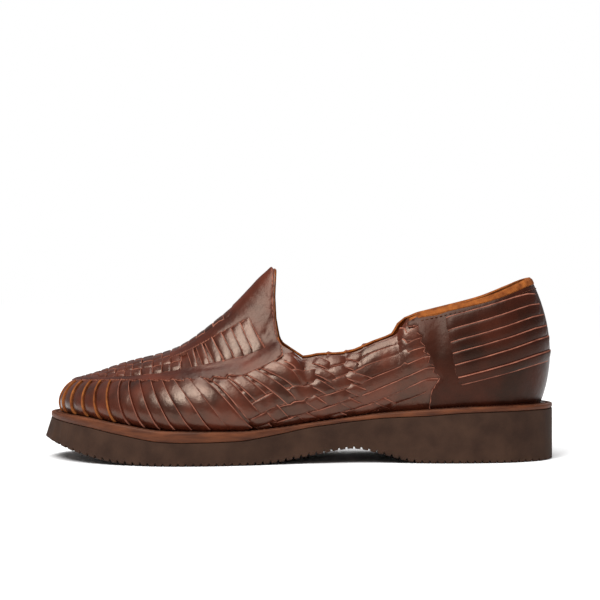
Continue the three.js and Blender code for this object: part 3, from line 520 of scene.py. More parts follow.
# Strips of the weaves, and the thicker ones round the toe
WOVEN = BandShape(dome=0.16, cut=0.3)
THICK = BandShape(thickness=1.6, cut=0.75, round_off=0.55)


def band(
    piece: Piece, last: Last, path: np.ndarray, width: np.ndarray, left: np.ndarray, right: np.ndarray,
    shape: BandShape = BandShape(), skew: np.ndarray | None = None, cut_rows: int = 0,
) -> None:
    """Adds a leather strip that follows a path on the flat pattern.

    Args:
        piece: The mesh it joins.
        last: The form it lies on.
        path: Rows of places along and across the pattern, on the strip's middle line.
        width: The strip's width at each place, in mm.
        left: Height of its left edge at each place, in mm.
        right: Height of its right edge at each place, in mm.
        shape: The strip's section.
        skew: How far its left edge runs ahead of its middle at each place, in mm.
        cut_rows: How many of its last rows show the cut leather.
    """
    across, insets, depths, finishes = shape.section()
    run = np.gradient(path, axis=0)
    run /= np.linalg.norm(run, axis=1, keepdims=True)
    aside = np.stack([-run[:, 1], run[:, 0]], axis=1)
    out = width[:, None] / 2 * across - insets * np.sign(across)
    flat = path[:, None, :] + aside[:, None, :] * out[:, :, None]
    if skew is not None:
        flat = flat + run[:, None, :] * (skew[:, None] * across)[:, :, None]
    share = (1 + across[None, :]) / 2
    height = mix(right[:, None], left[:, None], share) + depths[None, :]
    spots = np.concatenate([flat, height[..., None]], axis=2).reshape(-1, 3)
    count = len(across)
    faces, marks = [], []
    for i in range(len(path) - 1):
        for k in range(count):
            a, b = i * count + k, i * count + (k + 1) % count
            faces.append((a, b, b + count, a + count))
            marks.append(EDGE if i >= len(path) - 1 - cut_rows else finishes[k])
    faces.append(tuple(range(count - 1, -1, -1)))
    faces.append(tuple((len(path) - 1) * count + k for k in range(count)))
    marks.extend([EDGE, EDGE])
    piece.add(last.bend(spots), faces, marks)


def resampled(path: Sequence[Spot], step: float = 1.6) -> tuple[np.ndarray, np.ndarray]:
    """A path with evenly spaced points.

    Args:
        path: Corners of the path.
        step: Greatest distance between two points.

    Returns:
        The points, and how far along the path each one lies.
    """
    corners = np.array(path, dtype=float)
    run = np.concatenate([[0], np.cumsum(np.linalg.norm(np.diff(corners, axis=0), axis=1))])
    at = np.linspace(0, run[-1], max(4, int(run[-1] / step) + 1))
    return np.stack([np.interp(at, run, corners[:, i]) for i in (0, 1)], axis=1), at


# Distance between the points of a woven strip, in mm
WEAVE_STEP = 1.1


@dataclass
class Lane:
    """A strip to weave: corners of its middle line, its width at each and how far its left edge rises."""

    corners: list[Spot]
    widths: list[float]
    tilts: list[float]
    path: np.ndarray = field(init=False)
    at: np.ndarray = field(init=False)
    width: np.ndarray = field(init=False)
    tilt: np.ndarray = field(init=False)

    def __post_init__(self) -> None:
        """Spaces the strip's points evenly."""
        self.path, self.at = resampled(self.corners, WEAVE_STEP)
        legs = np.linalg.norm(np.diff(np.array(self.corners), axis=0), axis=1)
        run = np.concatenate([[0], np.cumsum(legs)])
        self.width = np.interp(self.at, run, self.widths)
        self.tilt = np.interp(self.at, run, self.tilts)


def even_lane(corners: list[Spot], width: float) -> Lane:
    """A lane of even width that lies level."""
    return Lane(corners, [width] * len(corners), [0.0] * len(corners))


def eased(at: np.ndarray, places: Sequence[float], heights: Sequence[float], flat: float = 0.0) -> np.ndarray:
    """Heights that ease from one place to the next.

    Args:
        at: Where heights are wanted.
        places: Increasing places.
        heights: The height at each place.
        flat: Share of each gap that stays level beside either place.

    Returns:
        The heights.
    """
    x, y = np.array(places), np.array(heights)
    i = np.clip(np.searchsorted(x, at, side="right") - 1, 0, len(x) - 2)
    u = np.clip((at - x[i]) / np.maximum(x[i + 1] - x[i], 1e-6), 0, 1)
    u = np.clip((u - flat) / (1 - 2 * flat), 0, 1)
    return mix(y[i], y[i + 1], u * u * (3 - 2 * u))


def inset_ring(ring: np.ndarray, depth: float) -> np.ndarray:
    """A closed outline, anticlockwise, drawn in by a depth."""
    before, after = np.roll(ring, 1, axis=0), np.roll(ring, -1, axis=0)
    run = after - before
    run /= np.maximum(np.linalg.norm(run, axis=1, keepdims=True), 1e-9)
    return ring + np.stack([-run[:, 1], run[:, 0]], axis=1) * depth


def refined_ring(corners: Sequence[Spot], step: float) -> np.ndarray:
    """A closed outline with points no further apart than a step, anticlockwise."""
    ring = np.array(corners, dtype=float)
    area = np.sum(ring[:, 0] * np.roll(ring[:, 1], -1) - np.roll(ring[:, 0], -1) * ring[:, 1])
    if area < 0:
        ring = ring[::-1]
    points = []
    for start, end in zip(ring, np.roll(ring, -1, axis=0)):
        count = max(1, int(np.linalg.norm(end - start) / step))
        points.extend(mix(start, end, k / count) for k in range(count))
    return np.array(points)


# A plate's inner points, in its steps: how far apart they are and their gap to the rim
GRID_STEP = 1.2
RIM_GAP = 0.4


def plate(
    piece: Piece, last: Last, corners: Sequence[Spot], low: float, high: float, bevel: float = 0.35,
    step: float = 1.5, lift: Callable[[np.ndarray], np.ndarray] | None = None, back: int = FACE,
) -> None:
    """Adds a flat piece of leather cut to an outline and laid over the last.

    Args:
        piece: The mesh it joins.
        last: The form it lies on.
        corners: Corners of the outline on the flat pattern.
        low: Height of its underside, in mm.
        high: Height of its top, in mm.
        bevel: How far its top edge is rounded, in mm.
        step: Distance between its points, in mm.
        lift: Added height at places on the pattern, in mm.
        back: Finish number of its underside.
    """
    ring = refined_ring(corners, step)
    inner = inset_ring(ring, bevel)
    low_corner, high_corner = ring.min(axis=0), ring.max(axis=0)
    lines = (np.arange(low_corner[i], high_corner[i], step * GRID_STEP) for i in (0, 1))
    grid = np.stack(np.meshgrid(*lines), axis=-1).reshape(-1, 2)
    keep = inside(grid, inset_ring(ring, bevel + step * RIM_GAP))
    points = np.concatenate([ring, inner, grid[keep]])
    size = len(ring)
    edges = [(i, (i + 1) % size) for i in range(size)]
    out = delaunay_2d_cdt([Vector(p) for p in points], edges, [list(range(size))], 2, 1e-5)
    flat = np.array([tuple(p) for p in out[0]])
    origin = [ids[0] if ids else -1 for ids in out[3]]
    rim = np.array([0 <= i < size for i in origin])
    height = np.where(rim, high - bevel, high)
    extra = lift(flat) if lift else np.zeros(len(flat))
    top = np.column_stack([flat, height + extra])
    under = np.column_stack([flat, np.full(len(flat), low) + extra])
    count = len(flat)
    faces, marks = [], []
    uses: dict[tuple[int, int], tuple[int, int]] = {}
    for face in out[2]:
        faces.append(face)
        marks.append(EDGE if sum(rim[i] for i in face) >= 2 else FACE)
        faces.append(tuple(i + count for i in reversed(face)))
        marks.append(back)
        for a, b in zip(face, [*face[1:], face[0]]):
            key = (min(a, b), max(a, b))
            uses[key] = (0, 0) if key in uses else (a, b)
    for a, b in uses.values():
        if a != b:
            faces.append((b, a, a + count, b + count))
            marks.append(EDGE)
    piece.add(last.bend(np.concatenate([top, under])), faces, marks)


def inside(points: np.ndarray, ring: np.ndarray) -> np.ndarray:
    """Which points lie inside a closed outline.

    Args:
        points: Rows of two coordinates.
        ring: The outline's corners.

    Returns:
        True for each point inside.
    """
    x, y = points[:, 0:1], points[:, 1:2]
    x0, y0 = ring[:, 0], ring[:, 1]
    x1, y1 = np.roll(x0, -1), np.roll(y0, -1)
    spans = (y0 > y) != (y1 > y)
    rise = np.where(y1 == y0, 1e-9, y1 - y0)
    return (spans & (x < (x1 - x0) * (y - y0) / rise + x0)).sum(axis=1) % 2 == 1


@dataclass(frozen=True)
class Hollow:
    """A crease or dent pressed into a piece of leather, the same on both sides of the shoe.

    Its place is a turn and a share of the girth, its lean is in degrees and its sizes are in mm.
    """

    turn: float
    girth: float
    lean: float
    length: float
    width: float
    depth: float

    def drop(self, flat: np.ndarray) -> np.ndarray:
        """How far it lowers each flat point."""
        along, across = flat[:, 0] - self.turn * CHART_END, np.abs(flat[:, 1]) - self.girth * FEATHER
        slant = math.radians(self.lean)
        u = along * math.cos(slant) + across * math.sin(slant)
        v = across * math.cos(slant) - along * math.sin(slant)
        return self.depth * np.exp(-((u / self.length) ** 2) - (v / self.width) ** 2)


def pressed(hollows: Sequence[Hollow]) -> Callable[[np.ndarray], np.ndarray]:
    """The lift of a piece with hollows in it."""
    return lambda flat: -sum(hollow.drop(flat) for hollow in hollows)


# Creases where the tongue flexes, beside the throat and over the side straps
TONGUE_CREASES = (
    Hollow(0.532, 0.32, 62.0, 7.0, 1.0, 0.45),
    Hollow(0.541, 0.36, 58.0, 6.0, 0.9, 0.4),
    Hollow(0.536, 0.4, 35.0, 5.0, 0.9, 0.4),
    Hollow(0.553, 0.47, 15.0, 6.0, 1.0, 0.35),
    Hollow(0.6, 0.47, -8.0, 8.0, 1.1, 0.3),
)
# Soft hollow in front of the heel strips, and two creases at the bend of the counter
COUNTER_HOLLOWS = (
    Hollow(0.325, 0.66, 88.0, 13.0, 3.6, 1.0),
    Hollow(0.31, 0.93, 10.0, 9.0, 1.2, 0.3),
    Hollow(0.2, 0.95, -6.0, 12.0, 1.4, 0.25),
)


def on_wall(side: Side, turn: float, rise: float) -> Spot:
    """Place on the flat pattern: a share of the way round, and a share of the way up the wall."""
    return turn * CHART_END, side.value * (FEATHER - rise * WALL_GIRTH)


def on_instep(side: Side, turn: float, spread: float) -> Spot:
    """Place on the flat pattern: a share of the way round, and a share out from the ridge."""
    return turn * CHART_END, side.value * spread * CROWN_GIRTH


# Finishes


def rgb(text: str) -> tuple[float, float, float, float]:
    """Linear colour of an sRGB hex colour."""
    values = [int(text[i : i + 2], 16) / 255 for i in (1, 3, 5)]
    linear = [v / 12.92 if v <= 0.04045 else ((v + 0.055) / 1.055) ** 2.4 for v in values]
    return (*linear, 1.0)


@dataclass(frozen=True)
class Finish:
    """A surface finish with mottled colour, uneven gloss and fine relief, its patterns in real mm."""

    name: str
    dark: str
    light: str
    roughness: float
    coat: float = 0.0
    specular: float = 0.5
    mottle_mm: float = 9.0
    grain_mm: float = 0.7
    relief_mm: float = 0.05
    wrinkle_mm: float = 5.0
    wrinkle_depth_mm: float = 0.0
    stretch: tuple[float, float, float] = (1.0, 1.0, 1.0)
    shine: str = "#FFE2CB"
    coat_roughness: float = 0.3
    dark_until: float = 0.32
    light_from: float = 0.7
    glossiest: float = 0.82
    dullest: float = 1.25
    mottle_detail: float = 4.0
    grain_detail: float = 3.0
    wrinkle_detail: float = 2.0

    def material(self) -> bpy.types.Material:
        """The finish as a material, made once."""
        found = bpy.data.materials.get(self.name)
        if found:
            return found
        material = bpy.data.materials.new(self.name)
        material.use_nodes = True
        tree = material.node_tree
        shader = tree.nodes["Principled BSDF"]
        place = tree.nodes.new("ShaderNodeTexCoord")
        mapping = tree.nodes.new("ShaderNodeMapping")
        mapping.inputs["Scale"].default_value = self.stretch
        tree.links.new(place.outputs["Object"], mapping.inputs["Vector"])
        self._colour(tree, mapping, shader)
        self._relief(tree, mapping, shader)
        for socket, value in (
            ("Specular IOR Level", self.specular),
            ("Specular Tint", rgb(self.shine)),
            ("Coat Weight", self.coat),
            ("Coat Roughness", self.coat_roughness),
        ):
            shader.inputs[socket].default_value = value
        return material

    def _colour(self, tree: bpy.types.NodeTree, mapping: bpy.types.Node, shader: bpy.types.Node) -> None:
        """Mottles the colour and the gloss.

        Args:
            tree: The material's nodes.
            mapping: The node that gives the place on the shoe.
            shader: The node that takes the colour and roughness.
        """
        mottle = self._noise(tree, mapping, self.mottle_mm, self.mottle_detail)
        ramp = tree.nodes.new("ShaderNodeValToRGB")
        stops = ((self.dark_until, self.dark), (self.light_from, self.light))
        for element, (position, colour) in zip(ramp.color_ramp.elements, stops):
            element.position = position
            element.color = rgb(colour)
        gloss = tree.nodes.new("ShaderNodeMapRange")
        gloss.inputs["To Min"].default_value = self.roughness * self.glossiest
        gloss.inputs["To Max"].default_value = min(1.0, self.roughness * self.dullest)
        tree.links.new(mottle.outputs["Fac"], ramp.inputs["Fac"])
        tree.links.new(ramp.outputs["Color"], shader.inputs["Base Color"])
        tree.links.new(mottle.outputs["Fac"], gloss.inputs["Value"])
        tree.links.new(gloss.outputs["Result"], shader.inputs["Roughness"])

    def _relief(self, tree: bpy.types.NodeTree, mapping: bpy.types.Node, shader: bpy.types.Node) -> None:
        """Raises the grain and the wrinkles.

        Args:
            tree: The material's nodes.
            mapping: The node that gives the place on the shoe.
            shader: The node that takes the relief.
        """
        grain = self._noise(tree, mapping, self.grain_mm, self.grain_detail)
        wrinkle = self._noise(tree, mapping, self.wrinkle_mm, self.wrinkle_detail)
        folds = tree.nodes.new("ShaderNodeMath")
        folds.operation = "MULTIPLY"
        folds.inputs[1].default_value = self.wrinkle_depth_mm
        height = tree.nodes.new("ShaderNodeMath")
        height.operation = "MULTIPLY_ADD"
        height.inputs[1].default_value = self.relief_mm
        bump = tree.nodes.new("ShaderNodeBump")
        bump.inputs["Strength"].default_value = 1.0
        bump.inputs["Distance"].default_value = MM
        tree.links.new(wrinkle.outputs["Fac"], folds.inputs[0])
        tree.links.new(grain.outputs["Fac"], height.inputs[0])
        tree.links.new(folds.outputs["Value"], height.inputs[2])
        tree.links.new(height.outputs["Value"], bump.inputs["Height"])
        tree.links.new(bump.outputs["Normal"], shader.inputs["Normal"])

    @staticmethod
    def _noise(
        tree: bpy.types.NodeTree, mapping: bpy.types.Node, size: float, detail: float
    ) -> bpy.types.Node:
        """A noise texture whose bumps are about a size in mm."""
        noise = tree.nodes.new("ShaderNodeTexNoise")
        noise.inputs["Scale"].default_value = 1 / (size * MM)
        noise.inputs["Detail"].default_value = detail
        tree.links.new(mapping.outputs["Vector"], noise.inputs["Vector"])
        return noise


# Waxed dark brown leather of the woven strips, with a soft shine
STRIP_LEATHER = Finish(
    "waxed_strip_leather", "#2B0F07", "#4E2013", 0.3, coat=0.06, specular=0.55, mottle_mm=14.0,
    wrinkle_depth_mm=0.35,
)
# The same leather on the tongue and straps, redder where it is handled
STRAP_LEATHER = Finish(
    "waxed_strap_leather", "#30110A", "#522113", 0.35, coat=0.04, specular=0.32, mottle_mm=18.0,
    wrinkle_depth_mm=0.4,
)
# Smooth dark leather of the heel counter, its colour also darkened with painted shade for the heel end
COUNTER_LEATHER_AND_SHADE = Finish(
    "smooth_counter_leather", "#1E0A05", "#39160C", 0.36, coat=0.04, specular=0.2, mottle_mm=22.0,
    wrinkle_depth_mm=0.3,
)
# Raw cut edge of a leather strip
CUT_EDGE = Finish("cut_edge", "#60352A", "#96604E", 0.75, specular=0.2, mottle_mm=6.0)
# Thicker raw edge of the strips round the toe, tan where the dye hasn't soaked in
RAW_EDGE = Finish("raw_edge", "#5E2E17", "#8E5429", 0.8, specular=0.15, mottle_mm=4.0)
# Suede side of the leather, inside the shoe and on the collar's thick edge
SUEDE = Finish(
    "suede_lining", "#673416", "#955526", 0.9, specular=0.15, mottle_mm=4.0, grain_mm=0.5, relief_mm=0.08
)
# Burnished leather edge of the midsole
MIDSOLE_EDGE = Finish(
    "burnished_midsole_edge", "#35170D", "#64361F", 0.55, specular=0.3, mottle_mm=6.0, relief_mm=0.08,
    stretch=(0.35, 0.35, 2.0),
)
# Vegetable tanned leather of the insole
INSOLE_LEATHER = Finish("tanned_insole_leather", "#9A5A2E", "#B87442", 0.7, specular=0.3, mottle_mm=20.0)
# Dark brown moulded rubber of the outsole
RUBBER = Finish(
    "moulded_brown_rubber", "#2A1B15", "#3B2920", 0.75, specular=0.2, mottle_mm=12.0, grain_mm=1.2,
    relief_mm=0.06,
)
# Waxed thread of the stitches
THREAD = Finish("waxed_thread", "#2E150D", "#5A3220", 0.6, specular=0.3, mottle_mm=2.0)


# Sub-assemblies


@dataclass
class Sole:
    """The outsole with its cross grooves, the midsole and the insole, in mm.

    The midsole's rows are insets and heights: two over its underside, and the rest over the seat, where they
    form the groove for the thread.
    """

    groove_pitch: float = 4.2
    groove_width: float = 1.4
    groove_depth: float = 1.1
    edge_round: float = 0.8
    top_round: float = 0.4
    flare_from: float = 0.8
    end_arc: float = 0.3
    end_rows: int = 14
    midsole_foot: tuple[tuple[float, float], ...] = ((0.5, 0.0), (0.0, 0.5))
    midsole_rim: tuple[tuple[float, float], ...] = (
        (0.0, -0.7), (0.25, -0.2), (0.8, 0.0), (2.4, 0.0), (2.7, -0.5), (3.4, -0.5), (3.7, 0.0),
    )
    midsole_rows: int = 200
    insole_rows: int = 120
    insole_inset: float = 1.8
    insole_bevel: tuple[float, float] = (0.6, 0.5)
    tread_crease: float = 32.0
    layer_crease: float = 50.0

    def _section(self, phi: float, inset: float, flared: bool) -> np.ndarray:
        """The two ends of a section across the sole, drawn in by an inset."""
        ends = []
        for side in Side:
            x, y = outline(phi, side.value)
            nx, ny = outward(phi, side.value)
            station = (1 - math.cos(phi)) / 2
            push = max(0.0, (station - self.flare_from) / (1 - self.flare_from)) ** 2 if flared else 0.0
            ends.append((float(x - nx * inset) - TOE_OVERHANG * push, float(y - ny * inset)))
        return np.array(ends)

    def _row(
        self, inset: float, height: HeightLine, lift: float = 0.0, cuts: dict[float, float] | None = None
    ) -> SectionRow:
        """One row of a loft.

        Args:
            inset: How far the outline is drawn in.
            height: The row's height at a place along the shoe.
            lift: Height over that.
            cuts: Depth of the grooves at each turn; a row with grooves also reaches out at the toe.

        Returns:
            The row, which gives the two ends of its section at a turn.
        """

        def row(phi: float) -> np.ndarray:
            """The two ends of the row's section."""
            ends = self._section(phi, inset, cuts is not None)
            return np.column_stack([ends, height(ends[:, 0]) + lift + (cuts[phi] if cuts else 0.0)])

        return row

    def _loft(self, turns: Sequence[float], rows: Sequence[SectionRow]) -> Piece:
        """A closed skin through the sections that the rows give at each turn."""
        points = []
        for phi in turns:
            ends = [row(phi) for row in rows]
            points.extend([end[0] for end in ends] + [end[1] for end in reversed(ends)])
        count = 2 * len(rows)
        faces = []
        for i in range(len(turns) - 1):
            for k in range(count):
                a, b = i * count + k, i * count + (k + 1) % count
                faces.append((a, a + count, b + count, b))
        faces.append(tuple(range(count)))
        faces.append(tuple((len(turns) - 1) * count + k for k in reversed(range(count))))
        piece = Piece()
        piece.add(placed(np.array(points)), faces, [FACE] * len(faces))
        return piece

    def _grooves(self) -> dict[float, float]:
        """The tread's cross grooves.

        Returns:
            Their depth at each turn of the outsole, from heel to toe.
        """
        count = int(SOLE_LENGTH / self.groove_pitch) - 1
        first = (SOLE_LENGTH - count * self.groove_pitch) / 2
        half = self.groove_width / 2
        marks = [(0.0, 0.0)]
        for i in range(count + 1):
            middle = first + i * self.groove_pitch
            marks += [(middle + half * at, cut) for at, cut in ((-1, 0.0), (-0.5, 1.0), (0.5, 1.0), (1, 0.0))]
        depths = {turn_of(at / SOLE_LENGTH): cut * self.groove_depth for at, cut in marks}
        for ends in ((0.0, self.end_arc), (math.pi - self.end_arc, math.pi)):
            for phi in np.linspace(*ends, self.end_rows):
                depths.setdefault(float(phi), 0.0)
        return dict(sorted(depths.items()))

    def outsole(self) -> None:
        """Builds the outsole: straight sides, a rounded foot and square-cut cross grooves."""
        depths = self._grooves()
        rows = [
            self._row(self.edge_round, tread_z, 0.0, depths),
            self._row(0.0, tread_z, self.edge_round, depths),
            self._row(0.0, midsole_z, -SEAM - self.top_round),
            self._row(self.top_round, midsole_z, -SEAM),
        ]
        piece = self._loft(list(depths), rows).build("sole_outsole", [RUBBER], self.tread_crease)
        dress(piece, "outsole_rubber", "outsole")

    def midsole(self) -> None:
        """Builds the midsole with a thread groove near its top edge."""
        rows = [self._row(inset, midsole_z, lift) for inset, lift in self.midsole_foot]
        rows += [self._row(inset, seat_z, lift) for inset, lift in self.midsole_rim]
        piece = self._loft(np.linspace(0, math.pi, self.midsole_rows), rows)
        built = piece.build("sole_midsole", [MIDSOLE_EDGE], self.layer_crease)
        dress(built, "midsole_leather", "midsole")

    def insole(self) -> None:
        """Builds the insole that lies inside the upper."""

        def row(inset: float, lift: float) -> SectionRow:
            """A row inside the feather edge, at a height over the seat."""

            def ends(phi: float) -> np.ndarray:
                """The two ends of the row's section."""
                spots = []
                for side in Side:
                    rib = Rib(np.array([phi]), side.value)
                    x, y = (float(rib.foot[i][0] - rib.out[i][0] * inset) for i in (0, 1))
                    spots.append((x, y, float(seat_z(x)) + lift))
                return np.array(spots)

            return ends

        inner, drop = self.insole_bevel
        low, high = SEAM, SEAM + INSOLE
        rows = [
            row(self.insole_inset, low),
            row(self.insole_inset, high - drop),
            row(self.insole_inset + inner, high),
        ]
        piece = self._loft(np.linspace(0, math.pi, self.insole_rows), rows)
        built = piece.build("sole_insole", [INSOLE_LEATHER], self.layer_crease)
        dress(built, "insole_leather", "insole")

    def build(self) -> None:
        """Builds every layer."""
        self.outsole()
        self.midsole()
        self.insole()


@dataclass(frozen=True)
class Tuck:
    """Heights along a strip in mm, eased between places that are counted from its start and from its end."""

    start: tuple[tuple[float, float], ...]
    end: tuple[tuple[float, float], ...]

    def __call__(self, at: np.ndarray) -> np.ndarray:
        """The height at each place along a strip that ends at the last of them."""
        places = [place for place, _ in self.start] + [at[-1] - place for place, _ in self.end]
        return eased(at, places, [height for _, height in (*self.start, *self.end)])


@dataclass
class Weave:
    """Two sets of strips that pass over and under each other, sizes in mm.

    The first set stays on top where nothing crosses it, and its ends follow the tuck. The second set ends
    underneath. Each strip of the second set may lie wholly over the first few of the first set, as the
    numbers in laid say.
    """

    first: Sequence[Lane]
    second: Sequence[Lane]
    lift: float
    tuck: Tuck | None = None
    laid: tuple[int, ...] = ()
    level: float = WALL + STRIP * 0.95
    start_share: float = 0.4
    crossing_gap: float = 1.2
    plateau: float = 0.28

    def _over(self, own: int, row: int, rung: int) -> bool:
        """Whether the own set's strip is on top where a row and a rung cross."""
        under = self.laid[rung] if rung < len(self.laid) else 0
        return own == 1 if row < under else (row + rung + own) % 2 == 1

    def _height(self, own: int, number: int, lane: Lane) -> np.ndarray:
        """The height of a strip.

        Args:
            own: The set it is in, 0 or 1.
            number: Its number in the set.
            lane: The strip.

        Returns:
            Its height at each point of its path.
        """
        knots = []
        for other_number, other in enumerate(self.first if own else self.second):
            gap = np.linalg.norm(lane.path[:, None] - other.path[None], axis=2)
            if gap.min() < self.crossing_gap:
                row, rung = (other_number, number) if own else (number, other_number)
                sign = 1 if self._over(own, row, rung) else -1
                nearest = np.unravel_index(gap.argmin(), gap.shape)[0]
                knots.append((float(lane.at[nearest]), sign * self.lift))
        knots.sort()
        start = -self.lift if own else self.lift * self.start_share
        places = [0.0, *(place for place, _ in knots), float(lane.at[-1])]
        heights = [start, *(height for _, height in knots), -self.lift]
        height = self.level + eased(lane.at, places, heights, self.plateau)
        return height + self.tuck(lane.at) if self.tuck and not own else height

    def build(self, last: Last) -> Piece:
        """The woven strips as one mesh."""
        piece = Piece()
        for own, lanes in enumerate((self.first, self.second)):
            for number, lane in enumerate(lanes):
                height = self._height(own, number, lane)
                left, right = height + lane.tilt / 2, height - lane.tilt / 2
                band(piece, last, lane.path, lane.width, left, right, WOVEN)
        return piece


@dataclass(frozen=True)
class InstepNet:
    """A weave over the instep: rows along it at spreads out from the ridge, and rungs across it at turns."""

    name: str
    spreads: tuple[float, ...]
    turns: tuple[float, ...]
    start: float
    end: float
    reach: float
    row_width: float
    rung_width: float
    lift: float
    row_points: int = 24
    rung_points: int = 16

    def weave(self) -> Weave:
        """The two sets of strips."""
        along = np.linspace(self.start, self.end, self.row_points)
        across = np.linspace(-self.reach, self.reach, self.rung_points)
        rows = [[on_instep(Side.MEDIAL, turn, spread) for turn in along] for spread in self.spreads]
        rungs = [[on_instep(Side.MEDIAL, turn, spread) for spread in across] for turn in self.turns]
        first = [even_lane(corners, self.row_width) for corners in rows]
        second = [even_lane(corners, self.rung_width) for corners in rungs]
        return Weave(first, second, self.lift)


# The chunky weave over the toes
TOE_NET = InstepNet(
    "strips_toe",
    spreads=(-0.8, -0.54, -0.27, 0.0, 0.27, 0.54, 0.8),
    turns=(0.66, 0.68, 0.7, 0.72, 0.741, 0.762, 0.784, 0.807, 0.832, 0.86, 0.892, 0.93),
    start=0.652, end=0.955, reach=0.96, row_width=8.2, rung_width=6.6, lift=0.75,
)
# The short strips across the ridge, between the centre straps
SPINE_NET = InstepNet(
    "strips_spine", spreads=(-0.13, 0.13), turns=tuple(np.linspace(0.578, 0.656, 7)),
    start=0.572, end=0.665, reach=0.34, row_width=5.4, rung_width=4.4, lift=0.7,
)
# How the strips' ends dip under what lies beside them
SIDE_TUCK = Tuck(((0.0, -1.2), (3.5, 0.1), (8.0, 0.3)), ((0.0, -0.15),))
WAIST_TUCK = Tuck(((0.0, -1.3), (4.0, -1.3), (10.0, 0.0)), ((4.0, 0.0), (1.0, -1.3), (0.0, -1.3)))
LADDER_TUCK = Tuck(((0.0, 0.3), (3.0, 1.6)), ((3.0, 1.5), (0.0, 0.4)))
COLLAR_TUCK = Tuck(((0.0, 0.0),), ((6.0, 0.0), (0.0, -1.2)))
HEEL_TUCK = Tuck(((0.0, -1.0), (2.5, 0.0)), ((2.0, 0.0), (0.0, -0.2)))
# How far a heel strip's cut end slants
HEEL_SKEW = Tuck(((0.0, 0.0),), ((5.0, 0.0), (0.0, 1.7)))
# Turns round the heel where the wall's and the counter's top edges have a point
HEEL_TURNS = (0.12, 0.2, 0.28)
# Corners of the throat from the collar up to the tip of the tab, as turns and spreads, and the tip's turn
THROAT = ((0.515, 1.0), (0.52, 0.8), (0.5235, 0.6), (0.5245, 0.4), (0.5235, 0.22), (0.523, 0.1))
THROAT_TIP = 0.523


@dataclass(frozen=True)
class StripLayout:
    """Where the strips between the side strap, the collar and the sole lie, the same on both sides.

    Turns are shares of the way round from heel to toe, and rises are shares of the way up the wall.
    """

    # Gaps between the side strips, and between the strips that cross the waist, at the side strap
    side_turns: tuple[float, ...] = (
        1.0, 0.967, 0.935, 0.896, 0.86, 0.83, 0.803, 0.779, 0.756, 0.734, 0.713, 0.691, 0.668, 0.645, 0.624,
    )
    cross_turns: tuple[float, ...] = (
        0.624, 0.604, 0.585, 0.568, 0.547, 0.526, 0.505, 0.483, 0.461, 0.438, 0.415,
    )
    # How far the strips' feet lie behind their tops, and how far the strap's edge lies below the ridge
    lean: Curve = Curve(
        (0.41, 0.43, 0.52, 0.57, 0.6, 0.65, 0.73, 0.83, 0.94, 1.0),
        (0.17, 0.17, 0.14, 0.1, 0.08, 0.063, 0.055, 0.045, 0.026, 0.0),
    )
    strap_drop: Curve = Curve((0.5, 0.6, 0.65, 0.7, 0.8, 1.0), (0.22, 0.2, 0.17, 0.12, 0.08, 0.07))
    strap_lap: float = 0.05
    collar_tops: tuple[tuple[float, float], ...] = ((0.48, 0.97), (0.51, 0.94))

    def top(self, turn: float) -> float:
        """How far up a strip reaches: to the collar, or on under the side strap."""
        for limit, top in self.collar_tops:
            if turn < limit:
                return top
        return 1 - float(self.strap_drop(turn)) + self.strap_lap


LAYOUT = StripLayout()


def finish_strips(piece: Piece, name: str) -> None:
    """Makes a set of strips and puts it on the shoe."""
    dress(piece.build(name, [STRIP_LEATHER, CUT_EDGE]), "upper_leather")


@dataclass
class Wall:
    """The smooth wall under the strips, and the raw edge along its collar. Widths and heights are in mm."""

    last: Last
    collar: tuple[float, ...] = (*HEEL_TURNS, 0.357, 0.365, 0.373, 0.39, 0.43, 0.47, 0.495)
    throat_foot: tuple[float, float] = (0.507, 0.92)
    step: float = 2.6
    bevel: float = 0.2
    edge_shape: BandShape = BandShape(thickness=1.9, dome=0.35, cut=0.5, round_off=0.5)
    edge_rise: float = 0.967
    edge_end: float = 0.362
    edge_width: float = 2.5
    edge_lift: float = 0.1
    edge_points: int = 60
    edge_step: float = 1.5

    def skin(self) -> None:
        """Builds the wall, with its suede side in."""
        piece = Piece()
        for side in Side:
            corners = [
                on_wall(side, 1.0, 0.0),
                on_wall(side, 0.0, 0.0),
                on_wall(side, 0.0, 1.0),
                *(on_wall(side, turn, 1.0) for turn in self.collar),
                on_wall(side, *self.throat_foot),
                *(on_instep(side, turn, spread) for turn, spread in THROAT),
                on_instep(side, THROAT_TIP, 0.0),
                on_instep(side, 1.0, 0.0),
            ]
            plate(piece, self.last, corners, 0.0, WALL, bevel=self.bevel, step=self.step, back=BACK)
        dress(piece.build("upper_wall", [STRIP_LEATHER, SUEDE, SUEDE]), "upper_leather", "upper")

    def edge(self) -> None:
        """Builds the thick raw edge that is turned out along the collar."""
        piece = Piece()
        for side in Side:
            turns = np.linspace(0.0, self.edge_end, self.edge_points)
            path, at = resampled([on_wall(side, turn, self.edge_rise) for turn in turns], self.edge_step)
            height = WALL + SEAM + COUNTER + self.edge_lift + COLLAR_TUCK(at)
            band(piece, self.last, path, np.full(len(at), self.edge_width), height, height, self.edge_shape)
        dress(piece.build("collar_edge", [SUEDE, SUEDE]), "upper_leather")

    def build(self) -> None:
        """Builds the wall and its raw edge."""
        self.skin()
        self.edge()


